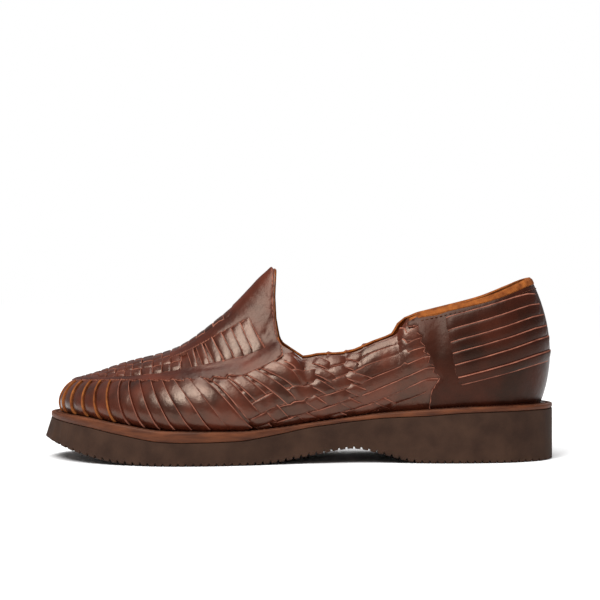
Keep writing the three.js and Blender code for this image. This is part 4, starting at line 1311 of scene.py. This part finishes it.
@dataclass
class SideStrips:
    """The strips that run from the side strap down to the sole, each lapped over the next, on one side.

    The belly is where their path bends: a share of the way back and a share of the way up. Laps and lifts
    are in mm, the lifts those of a strip's upper and lower edge.
    """

    last: Last
    side: Side
    toe_from: float = 0.82
    belly: tuple[float, float] = (0.45, 0.55)
    fill: float = 0.96
    lap: float = 0.5
    lifts: tuple[float, float] = (1.75, 0.4)

    def _strip(self, piece: Piece, shape: BandShape, front: float, back: float) -> None:
        """Adds one strip.

        Args:
            piece: The mesh it joins.
            shape: Its section.
            front: Turn of its front edge at the side strap.
            back: Turn of its back edge there.
        """
        top_turn = (front + back) / 2
        top = LAYOUT.top(top_turn)
        foot_front, foot_back = (turn - float(LAYOUT.lean(turn)) for turn in (front, back))
        foot_turn = (foot_front + foot_back) / 2
        path, at = resampled([
            on_wall(self.side, top_turn, top),
            on_wall(self.side, mix(top_turn, foot_turn, self.belly[0]), top * self.belly[1]),
            on_wall(self.side, foot_turn, 0.0),
        ])
        pitch = mix(front - back, foot_front - foot_back, at / at[-1]) * CHART_END
        rise, run = abs(path[-1][1] - path[0][1]), np.linalg.norm(path[-1] - path[0])
        width = (pitch * self.fill + self.lap) * rise / run + self.lap
        over, under = (WALL + lift + SIDE_TUCK(at) for lift in self.lifts)
        if back == LAYOUT.side_turns[-1]:
            under = over
        left, right = (over, under) if self.side is Side.MEDIAL else (under, over)
        band(piece, self.last, path, width, left, right, shape)

    def build(self) -> None:
        """Builds every strip, those round the toe as a piece of their own."""
        sides, toes = Piece(), Piece()
        for front, back in zip(LAYOUT.side_turns, LAYOUT.side_turns[1:]):
            piece, shape = (toes, THICK) if front > self.toe_from else (sides, BandShape())
            self._strip(piece, shape, front, back)
        word = self.side.name.lower()
        finish_strips(sides, f"strips_side_{word}")
        dress(toes.build(f"strips_toe_side_{word}", [STRIP_LEATHER, RAW_EDGE]), "upper_leather")


@dataclass
class Waist:
    """The weave at the waist of one side: rows from the counter, and strips that cross them.

    The rows' edges are rises at the edge turns. A row is woven in front of its limit and laps over the row
    below behind it. Gaps, laps, tilts and widths are in mm.
    """

    last: Last
    side: Side
    edge_turns: tuple[float, ...] = (0.34, 0.395, 0.462, 0.526, 0.58, 0.63)
    edges: tuple[tuple[float, ...], ...] = (
        (0.88, 0.97, 0.97, 0.86, 0.72, 0.6),
        (0.75, 0.84, 0.78, 0.66, 0.5, 0.38),
        (0.65, 0.72, 0.6, 0.46, 0.3, 0.18),
        (0.555, 0.54, 0.42, 0.28, 0.12, 0.0),
        (0.44, 0.38, 0.25, 0.1, -0.04, -0.16),
        (0.33, 0.23, 0.08, -0.05, -0.2, -0.32),
        (0.2, 0.08, -0.08, -0.2, -0.3, -0.4),
    )
    limits: tuple[float, ...] = (0.375, 0.405, 0.425, 0.41, 0.395, 0.385)
    fade: tuple[float, float] = (0.015, 0.02)
    run: tuple[float, float] = (0.325, 0.62)
    top: float = 0.965
    lap: float = 0.006
    row_points: int = 54
    row_gap: float = 0.3
    row_lap: float = 0.8
    row_tilt: float = 0.1
    row_lap_tilt: float = 0.75
    least_width: float = 1.5
    wall_points: int = 60
    line_points: int = 70
    line_margin: float = 0.02
    cross_laid: tuple[int, ...] = (2, 2, 2, 2, 1)
    cross_gap: float = 0.2
    cross_tilt: float = 0.1
    cross_points: int = 30
    cross_least: int = 4
    lift: float = 0.58

    def _edge(self, rises: Sequence[float]) -> Curve:
        """An edge between two rows.

        Args:
            rises: The edge's rise at each of the edge turns.

        Returns:
            Its rise by turn, so that the edge runs smoothly whatever the collar does above it.
        """
        shares = np.linspace(0, 1, self.wall_points)

        def column(turn: float) -> np.ndarray:
            """Heights up the wall at a turn."""
            return Rib(np.array([turn * math.pi]), self.side.value).wall(shares)[0, :, 2]

        heights = []
        for turn, rise in zip(self.edge_turns, rises):
            z = column(turn)
            heights.append(float(np.interp(rise, shares, z)) + min(rise, 0.0) * (z[-1] - z[0]))
        line = Curve(self.edge_turns, tuple(heights))
        turns = np.linspace(self.edge_turns[0] - self.line_margin, self.edge_turns[-1], self.line_points)
        found = []
        for turn in turns:
            z, level = column(turn), float(line(turn))
            below = min(level - z[0], 0.0) / (z[-1] - z[0])
            above = max(level - z[-1], 0.0) / (z[-1] - z[0])
            found.append(float(np.interp(level, z, shares)) + below + above)
        return Curve(tuple(turns), tuple(found))

    def _inside(self, spot: Spot) -> bool:
        """Whether a place is behind the last side strip."""
        rise = (FEATHER - abs(spot[1])) / WALL_GIRTH
        edge = LAYOUT.side_turns[-1]
        return spot[0] / CHART_END < edge - float(LAYOUT.lean(edge)) * (1 - rise) + self.lap

    def _row(self, row: int, high: Curve, low: Curve) -> Lane:
        """A strip that runs forward from the counter.

        Args:
            row: Its number, from the top.
            high: Its upper edge, as rises by turn.
            low: Its lower edge.

        Returns:
            The strip, which laps over the one below until it is woven.
        """
        spots, widths, tilts = [], [], []
        step = 0.01
        for turn in np.linspace(*self.run, self.row_points):
            foot, top = float(low(turn)), min(float(high(turn)), self.top)
            spot = on_wall(self.side, turn, (foot + top) / 2)
            if foot + top > 0.0 and self._inside(spot):
                slope = (float(low(turn + step)) - foot) * WALL_GIRTH / (step * CHART_END)
                plain = min(1.0, max(0.0, (self.limits[row] + self.fade[0] - turn) / self.fade[1]))
                width = (top - foot) * WALL_GIRTH / math.hypot(1, slope) + self.row_lap * plain - self.row_gap
                spots.append(spot)
                widths.append(max(self.least_width, width))
                tilts.append(-self.side.value * (self.row_tilt + self.row_lap_tilt * plain))
        return Lane(spots, widths, tilts)

    def _limit(self, edges: Sequence[Curve], turn: float, rise: float) -> float:
        """How far back the crossing strips reach at a place."""
        below = [row for row in range(len(edges) - 1) if rise < float(edges[row](turn))]
        return self.limits[below[-1]] if below else self.limits[0]

    def _crossing(self, edges: Sequence[Curve], front: float, back: float) -> Lane | None:
        """A strip that runs down and back across the rows.

        Args:
            edges: The rows' edges, as rises by turn.
            front: Turn of the strip's front edge.
            back: Turn of its back edge.

        Returns:
            The strip, or None where too little of it is woven.
        """
        turn = (front + back) / 2
        lean = float(LAYOUT.lean(turn))
        rises = np.linspace(LAYOUT.top(turn), 0.0, self.cross_points)
        line = [(turn - lean * (1 - rise), rise) for rise in rises]
        spots = [on_wall(self.side, t, rise) for t, rise in line if t > self._limit(edges, t, rise)]
        if len(spots) < self.cross_least:
            return None
        run = math.hypot(lean * CHART_END, WALL_GIRTH)
        width = (front - back) * CHART_END * WALL_GIRTH / run - self.cross_gap
        return Lane(spots, [width] * len(spots), [self.side.value * self.cross_tilt] * len(spots))

    def build(self) -> None:
        """Builds the weave."""
        edges = [self._edge(rises) for rises in self.edges]
        first = [self._row(row, *pair) for row, pair in enumerate(zip(edges, edges[1:]))]
        pairs = zip(LAYOUT.cross_turns, LAYOUT.cross_turns[1:])
        second = [lane for front, back in pairs if (lane := self._crossing(edges, front, back))]
        weave = Weave(first, second, self.lift, WAIST_TUCK, self.cross_laid)
        finish_strips(weave.build(self.last), f"strips_waist_{self.side.name.lower()}")


@dataclass
class Ladder:
    """The short strips between the centre strap and the side strap of one side.

    Each row gives the turns of a strip's top and foot. Its path bends between them at the middle spread.
    Widths, lifts and tilts are in mm.
    """

    last: Last
    side: Side
    rows: tuple[tuple[float, float], ...] = (
        (0.564, 0.54), (0.575, 0.553), (0.586, 0.565), (0.597, 0.578), (0.608, 0.592), (0.622, 0.61),
        (0.636, 0.628),
    )
    spreads: tuple[float, float, float] = (0.42, 0.66, 0.95)
    bend: float = 0.4
    width: float = 5.2
    narrowing: float = 0.3
    lift: float = 0.35
    tilt: float = 0.35

    def build(self) -> None:
        """Builds the strips."""
        piece = Piece()
        tilt = self.tilt * self.side.value
        for i, (top, foot) in enumerate(self.rows):
            turns = (top, mix(top, foot, self.bend), foot)
            path, at = resampled([on_instep(self.side, *spot) for spot in zip(turns, self.spreads)])
            height = WALL + self.lift + LADDER_TUCK(at)
            width = np.full(len(at), self.width - self.narrowing * i)
            band(piece, self.last, path, width, height + tilt, height - tilt)
        finish_strips(piece, f"strips_ladder_{self.side.name.lower()}")


@dataclass
class Upper:
    """The wall with every strip that is woven on it."""

    last: Last

    def build(self) -> None:
        """Builds the wall and every strip."""
        Wall(self.last).build()
        for side in Side:
            SideStrips(self.last, side).build()
            Waist(self.last, side).build()
            Ladder(self.last, side).build()
        for net in (TOE_NET, SPINE_NET):
            finish_strips(net.weave().build(self.last), net.name)


@dataclass
class Tongue:
    """The tongue tab, its centre straps and the side straps that run round the toe, with toothed edges.

    The wing's corners are turns and rises, the opening's are turns and spreads, and heights are in mm.
    """

    last: Last
    strap_reach: Curve = Curve((0.5, 0.6, 0.65, 0.7, 0.8, 1.0), (0.1, 0.09, 0.08, 0.07, 0.06, 0.06))
    wing: tuple[tuple[float, float], ...] = ((0.54, 0.78), (0.523, 0.8))
    opening: tuple[tuple[float, float], ...] = (
        (0.572, 0.0), (0.578, 0.26), (0.672, 0.26), (0.672, 0.48), (0.6, 0.48), (0.557, 0.48), (0.533, 0.9),
        (0.56, 0.91),
    )
    throat_rise: float = 0.84
    inset: float = 0.001
    waist_teeth: int = 3
    tooth: float = 0.055
    toe_tooth: float = 0.03
    toe_from: float = 0.75
    lift: float = 0.4
    bevel: float = 0.4
    step: float = 1.3

    def _teeth(self, side: Side, turns: Sequence[float]) -> list[Spot]:
        """Corners of a side strap's lower edge, a tooth for each strip that comes out from under it."""
        corners = []
        for front, back in zip(turns, turns[1:]):
            rise = 1 - float(LAYOUT.strap_drop(back))
            tooth = self.tooth if back < self.toe_from else self.toe_tooth
            corners.append(on_wall(side, front - self.inset, rise))
            corners.append(on_wall(side, back + self.inset, rise - tooth))
        return corners

    def build(self) -> None:
        """Builds the tongue piece."""
        turns = LAYOUT.side_turns + LAYOUT.cross_turns[1 : self.waist_teeth + 1]
        piece = Piece()
        for side in Side:
            corners = [
                *self._teeth(side, turns),
                *(on_wall(side, turn, rise) for turn, rise in self.wing),
                on_wall(side, THROAT[0][0] + self.inset, self.throat_rise),
                *(on_instep(side, turn + self.inset, spread) for turn, spread in THROAT),
                on_instep(side, THROAT_TIP + self.inset, 0.0),
                *(on_instep(side, turn, spread) for turn, spread in self.opening),
                *(on_instep(side, turn, 1 - float(self.strap_reach(turn))) for turn in turns[-2::-1]),
            ]
            high = WALL + SEAM + STRAP + self.lift
            plate(piece, self.last, corners, WALL, high, self.bevel, self.step, pressed(TONGUE_CREASES))
        dress(piece.build("tongue_piece", [STRAP_LEATHER, CUT_EDGE]), "tongue_leather", "tongue")


@dataclass
class Heel:
    """The heel counter and the strips lapped round it. Turns and rises are shares, the rest is in mm."""

    last: Last
    skin: float = WALL + SEAM + COUNTER
    top: float = 0.965
    bevel: float = 0.35
    step: float = 1.7
    front: tuple[tuple[float, float], ...] = (
        (0.352, 0.975), (0.366, 0.94), (0.364, 0.89), (0.352, 0.87), (0.354, 0.8), (0.346, 0.76),
        (0.349, 0.7), (0.342, 0.65), (0.345, 0.6), (0.335, 0.555), (0.339, 0.49), (0.329, 0.44),
        (0.332, 0.39), (0.321, 0.335), (0.334, 0.2), (0.337, 0.0),
    )
    # Edges between the strips: turn and rise at the front end, turn and rise at the back end
    edges: tuple[tuple[float, float, float, float], ...] = (
        (0.312, 0.883, 0.094, 0.88), (0.309, 0.76, 0.087, 0.805), (0.306, 0.645, 0.08, 0.724),
        (0.303, 0.54, 0.073, 0.642), (0.3, 0.43, 0.067, 0.56), (0.297, 0.31, 0.061, 0.45),
        (0.29, 0.235, 0.056, 0.37),
    )
    points: int = 9
    bow: float = 0.03
    lap: float = 0.4
    lifts: tuple[float, float] = (0.6, 1.5)
    cut_end: float = 0.6

    def counter(self) -> None:
        """Builds the counter with its notched front edge."""
        piece = Piece()
        for side in Side:
            corners = [on_wall(side, 0.0, 0.0), on_wall(side, 0.0, self.top)]
            corners += [on_wall(side, turn, self.top) for turn in HEEL_TURNS]
            corners += [on_wall(side, turn, rise) for turn, rise in self.front]
            lift = pressed(COUNTER_HOLLOWS)
            plate(piece, self.last, corners, WALL, self.skin, self.bevel, self.step, lift)
        # The counter's finish is dark leather with painted shade darkening the heel end
        built = piece.build("heel_counter_piece", [COUNTER_LEATHER_AND_SHADE, CUT_EDGE])
        dress(built, "counter_leather", "heel_counter")

    def strips(self, side: Side) -> None:
        """Builds the six strips of one side, each lapped over the one below."""
        piece = Piece()
        shares = np.linspace(0, 1, self.points)
        lines = []
        for front_turn, front_rise, back_turn, back_rise in self.edges:
            bowed = mix(front_rise, back_rise, shares) + self.bow * np.sin(math.pi * shares)
            lines.append(np.stack([mix(front_turn, back_turn, shares), bowed]))
        for upper, lower in zip(lines, lines[1:]):
            path, at = resampled([on_wall(side, turn, rise) for turn, rise in ((upper + lower) / 2).T])
            drop = np.interp(at / at[-1], shares, upper[1] - lower[1]) * WALL_GIRTH
            low, high = (self.skin + lift + HEEL_TUCK(at) for lift in self.lifts)
            run = path[-1] - path[-2]
            path = np.concatenate([path, [path[-1] + run / np.linalg.norm(run) * self.cut_end]])
            low, high = (np.append(edge, edge[-1] - self.cut_end) for edge in (low, high))
            width = np.append(drop, drop[-1]) + self.lap
            skew = HEEL_SKEW(np.append(at, at[-1])) * side.value
            left, right = (high, low) if side is Side.MEDIAL else (low, high)
            band(piece, self.last, path, width, left, right, skew=skew, cut_rows=1)
        word = side.name.lower()
        nodes = [f"heel_strip_{word}_{i + 1}" for i in range(len(self.edges) - 1)]
        # The heel strips share that finish: dark leather with painted shade for the heel end
        dress(piece.build(f"heel_strips_{word}", [COUNTER_LEATHER_AND_SHADE, CUT_EDGE]), "strip_leather", *nodes)

    def build(self) -> None:
        """Builds the counter and its strips."""
        self.counter()
        for side in Side:
            self.strips(side)


@dataclass(frozen=True)
class Stitch:
    """A stitch in mm: how far apart such stitches are set, and how long and thick they are."""

    spacing: float
    length: float
    radius: float


@dataclass
class StitchRow:
    """A row of stitches along a path in metres, set out by a group of nodes."""

    name: str
    path: np.ndarray
    stitch: Stitch

    def _group(self) -> bpy.types.GeometryNodeTree:
        """The node group that lays stitches along a line."""
        group = bpy.data.node_groups.new(f"{self.name}_layout", "GeometryNodeTree")
        face = group.interface
        face.new_socket("Line", in_out="INPUT", socket_type="NodeSocketGeometry")
        for label in ("Spacing", "Length", "Radius"):
            face.new_socket(label, in_out="INPUT", socket_type="NodeSocketFloat")
        face.new_socket("Thread", in_out="INPUT", socket_type="NodeSocketMaterial")
        face.new_socket("Stitches", in_out="OUTPUT", socket_type="NodeSocketGeometry")
        new = group.nodes.new
        start, end = new("NodeGroupInput"), new("NodeGroupOutput")
        curve = new("GeometryNodeMeshToCurve")
        points = new("GeometryNodeCurveToPoints")
        points.mode = "LENGTH"
        stitch = new("GeometryNodeMeshUVSphere")
        for label, value in (("Segments", 8), ("Rings", 6), ("Radius", 1.0)):
            stitch.inputs[label].default_value = value
        half = new("ShaderNodeMath")
        half.operation = "MULTIPLY"
        half.inputs[1].default_value = 0.5
        size = new("ShaderNodeCombineXYZ")
        scale = new("GeometryNodeTransform")
        instance = new("GeometryNodeInstanceOnPoints")
        realize = new("GeometryNodeRealizeInstances")
        material = new("GeometryNodeSetMaterial")
        for source, given, target, taken in (
            (start, "Line", curve, "Mesh"),
            (curve, "Curve", points, "Curve"),
            (start, "Spacing", points, "Length"),
            (start, "Length", half, 0),
            (start, "Radius", size, "X"),
            (start, "Radius", size, "Y"),
            (half, "Value", size, "Z"),
            (stitch, "Mesh", scale, "Geometry"),
            (size, "Vector", scale, "Scale"),
            (points, "Points", instance, "Points"),
            (points, "Rotation", instance, "Rotation"),
            (scale, "Geometry", instance, "Instance"),
            (instance, "Instances", realize, "Geometry"),
            (realize, "Geometry", material, "Geometry"),
            (start, "Thread", material, "Material"),
            (material, "Geometry", end, "Stitches"),
        ):
            group.links.new(source.outputs[given], target.inputs[taken])
        return group

    def build(self, slot: str) -> None:
        """Builds the row.

        Args:
            slot: The record's material slot that the row goes with.
        """
        line = bpy.data.meshes.new(f"{self.name}_line")
        line.from_pydata(self.path.tolist(), [(i, i + 1) for i in range(len(self.path) - 1)], [])
        carrier = bpy.data.objects.new(f"{self.name}_carrier", line)
        bpy.context.scene.collection.objects.link(carrier)
        modifier = carrier.modifiers.new("stitches", "NODES")
        modifier.node_group = self._group()
        values = {
            "Spacing": self.stitch.spacing * MM,
            "Length": self.stitch.length * MM,
            "Radius": self.stitch.radius * MM,
            "Thread": THREAD.material(),
        }
        for item in modifier.node_group.interface.items_tree:
            if item.item_type == "SOCKET" and item.in_out == "INPUT" and item.name in values:
                modifier[item.identifier] = values[item.name]
        bpy.context.view_layer.update()
        depsgraph = bpy.context.evaluated_depsgraph_get()
        mesh = bpy.data.meshes.new_from_object(carrier.evaluated_get(depsgraph), depsgraph=depsgraph)
        mesh.name = self.name
        bpy.data.objects.remove(carrier)
        mesh.shade_smooth()
        piece = bpy.data.objects.new(self.name, mesh)
        bpy.context.scene.collection.objects.link(piece)
        dress(piece, slot)


@dataclass
class Stitching:
    """Every row of stitches on the shoe, in mm."""

    last: Last
    counter_stitch: Stitch = Stitch(spacing=2.6, length=1.7, radius=0.32)
    counter_turns: tuple[float, float] = (0.02, 0.345)
    counter_rise: float = 0.915
    counter_lift: float = 0.05
    counter_points: int = 80
    welt_stitch: Stitch = Stitch(spacing=3.4, length=2.4, radius=0.42)
    welt_inset: float = 3.05
    welt_depth: float = 0.1
    welt_points: int = 260

    def counter(self, side: Side) -> None:
        """Builds the stitches under the counter's top edge."""
        height = WALL + SEAM + COUNTER + self.counter_lift
        turns = np.linspace(*self.counter_turns, self.counter_points)
        spots = np.array([(*on_wall(side, turn, self.counter_rise), height) for turn in turns])
        name = f"stitches_counter_{side.name.lower()}"
        StitchRow(name, self.last.bend(spots), self.counter_stitch).build("counter_leather")

    def welt(self) -> None:
        """Builds the stitches in the groove round the top of the midsole."""
        rows = []
        phi = np.linspace(0.0, math.pi, self.welt_points)
        for side in Side:
            x, y = outline(phi, side.value)
            nx, ny = outward(phi, side.value)
            x, y = x - nx * self.welt_inset, y - ny * self.welt_inset
            rows.append(np.column_stack([x, y, seat_z(x) - self.welt_depth]))
        path = placed(np.concatenate([rows[0], rows[1][-2::-1]]))
        StitchRow("stitches_welt", path, self.welt_stitch).build("midsole_leather")

    def build(self) -> None:
        """Builds every row."""
        for side in Side:
            self.counter(side)
        self.welt()


@dataclass(frozen=True)
class Lamp:
    """A square soft light: its place and width in metres, and its power in watts."""

    name: str
    place: tuple[float, float, float]
    size: float
    power: float

    def build(self, aim: tuple[float, float, float]) -> None:
        """Sets the light up, aimed at a place."""
        light = bpy.data.lights.new(self.name, "AREA")
        light.size = self.size
        light.energy = self.power
        lamp = bpy.data.objects.new(self.name, light)
        lamp.location = self.place
        lamp.rotation_euler = (Vector(aim) - Vector(self.place)).to_track_quat("-Z", "Y").to_euler()
        bpy.context.scene.collection.objects.link(lamp)


@dataclass
class Studio:
    """A pale floor, soft light and the photo's camera, in metres and degrees."""

    camera_place: tuple[float, float, float] = (0.001, -0.85, 0.0909)
    view_width: float = 0.348
    sensor: float = 36.0
    floor_half: float = 40.0
    floor_roughness: float = 0.8
    white: str = "#FFFFFF"
    room_light: float = 0.26
    sun_power: float = 3.0
    sun_width: float = 40.0
    sun_tilt: tuple[float, float, float] = (28.0, -14.0, 0.0)
    aim: tuple[float, float, float] = (0.0, 0.0, 0.05)
    lamps: tuple[Lamp, ...] = (
        Lamp("key", (-0.35, -0.75, 0.75), 0.4, 4.5),
        Lamp("top", (-0.1, 0.1, 1.2), 0.45, 3.5),
        Lamp("rim", (0.5, 0.8, 0.6), 0.4, 1.5),
    )

    def floor(self) -> None:
        """Builds the floor."""
        mesh = bpy.data.meshes.new("floor")
        half = self.floor_half
        corners = [(-half, -half, 0), (half, -half, 0), (half, half, 0), (-half, half, 0)]
        mesh.from_pydata(corners, [], [(0, 1, 2, 3)])
        material = bpy.data.materials.new("pale_floor")
        material.use_nodes = True
        shader = material.node_tree.nodes["Principled BSDF"]
        shader.inputs["Base Color"].default_value = rgb(self.white)
        shader.inputs["Roughness"].default_value = self.floor_roughness
        mesh.materials.append(material)
        floor = bpy.data.objects.new("floor", mesh)
        bpy.context.scene.collection.objects.link(floor)

    def sun(self) -> None:
        """An even soft light over the whole floor."""
        light = bpy.data.lights.new("sun", "SUN")
        light.energy = self.sun_power
        light.angle = math.radians(self.sun_width)
        sun = bpy.data.objects.new("sun", light)
        sun.rotation_euler = [math.radians(angle) for angle in self.sun_tilt]
        bpy.context.scene.collection.objects.link(sun)

    def room(self) -> None:
        """A white room that is seen brighter than it lights the shoe."""
        world = bpy.data.worlds.new("soft_room")
        world.use_nodes = True
        nodes, links = world.node_tree.nodes, world.node_tree.links
        light = nodes["Background"]
        light.inputs["Strength"].default_value = self.room_light
        seen = nodes.new("ShaderNodeBackground")
        for background in (light, seen):
            background.inputs["Color"].default_value = rgb(self.white)
        ray = nodes.new("ShaderNodeLightPath")
        choice = nodes.new("ShaderNodeMixShader")
        links.new(ray.outputs["Is Camera Ray"], choice.inputs[0])
        links.new(light.outputs["Background"], choice.inputs[1])
        links.new(seen.outputs["Background"], choice.inputs[2])
        links.new(choice.outputs["Shader"], nodes["World Output"].inputs["Surface"])
        bpy.context.scene.world = world
        bpy.context.scene.view_settings.view_transform = "Standard"

    def camera(self) -> None:
        """Sets the camera level, across from the lateral side."""
        data = bpy.data.cameras.new("camera")
        data.sensor_width = self.sensor
        data.lens = self.sensor * -self.camera_place[1] / self.view_width
        camera = bpy.data.objects.new("camera", data)
        camera.location = self.camera_place
        camera.rotation_euler = (math.pi / 2, 0.0, 0.0)
        bpy.context.scene.collection.objects.link(camera)
        bpy.context.scene.camera = camera

    def build(self) -> None:
        """Builds the whole studio."""
        self.floor()
        self.room()
        self.sun()
        for lamp in self.lamps:
            lamp.build(self.aim)
        self.camera()


def main() -> None:
    """Builds the shoe and the studio in order."""
    logging.basicConfig(level=logging.INFO, format="%(message)s")
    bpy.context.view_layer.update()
    last = Last()
    Sole().build()
    Upper(last).build()
    Tongue(last).build()
    Heel(last).build()
    Stitching(last).build()
    Studio().build()


if __name__ == "__main__":
    main()
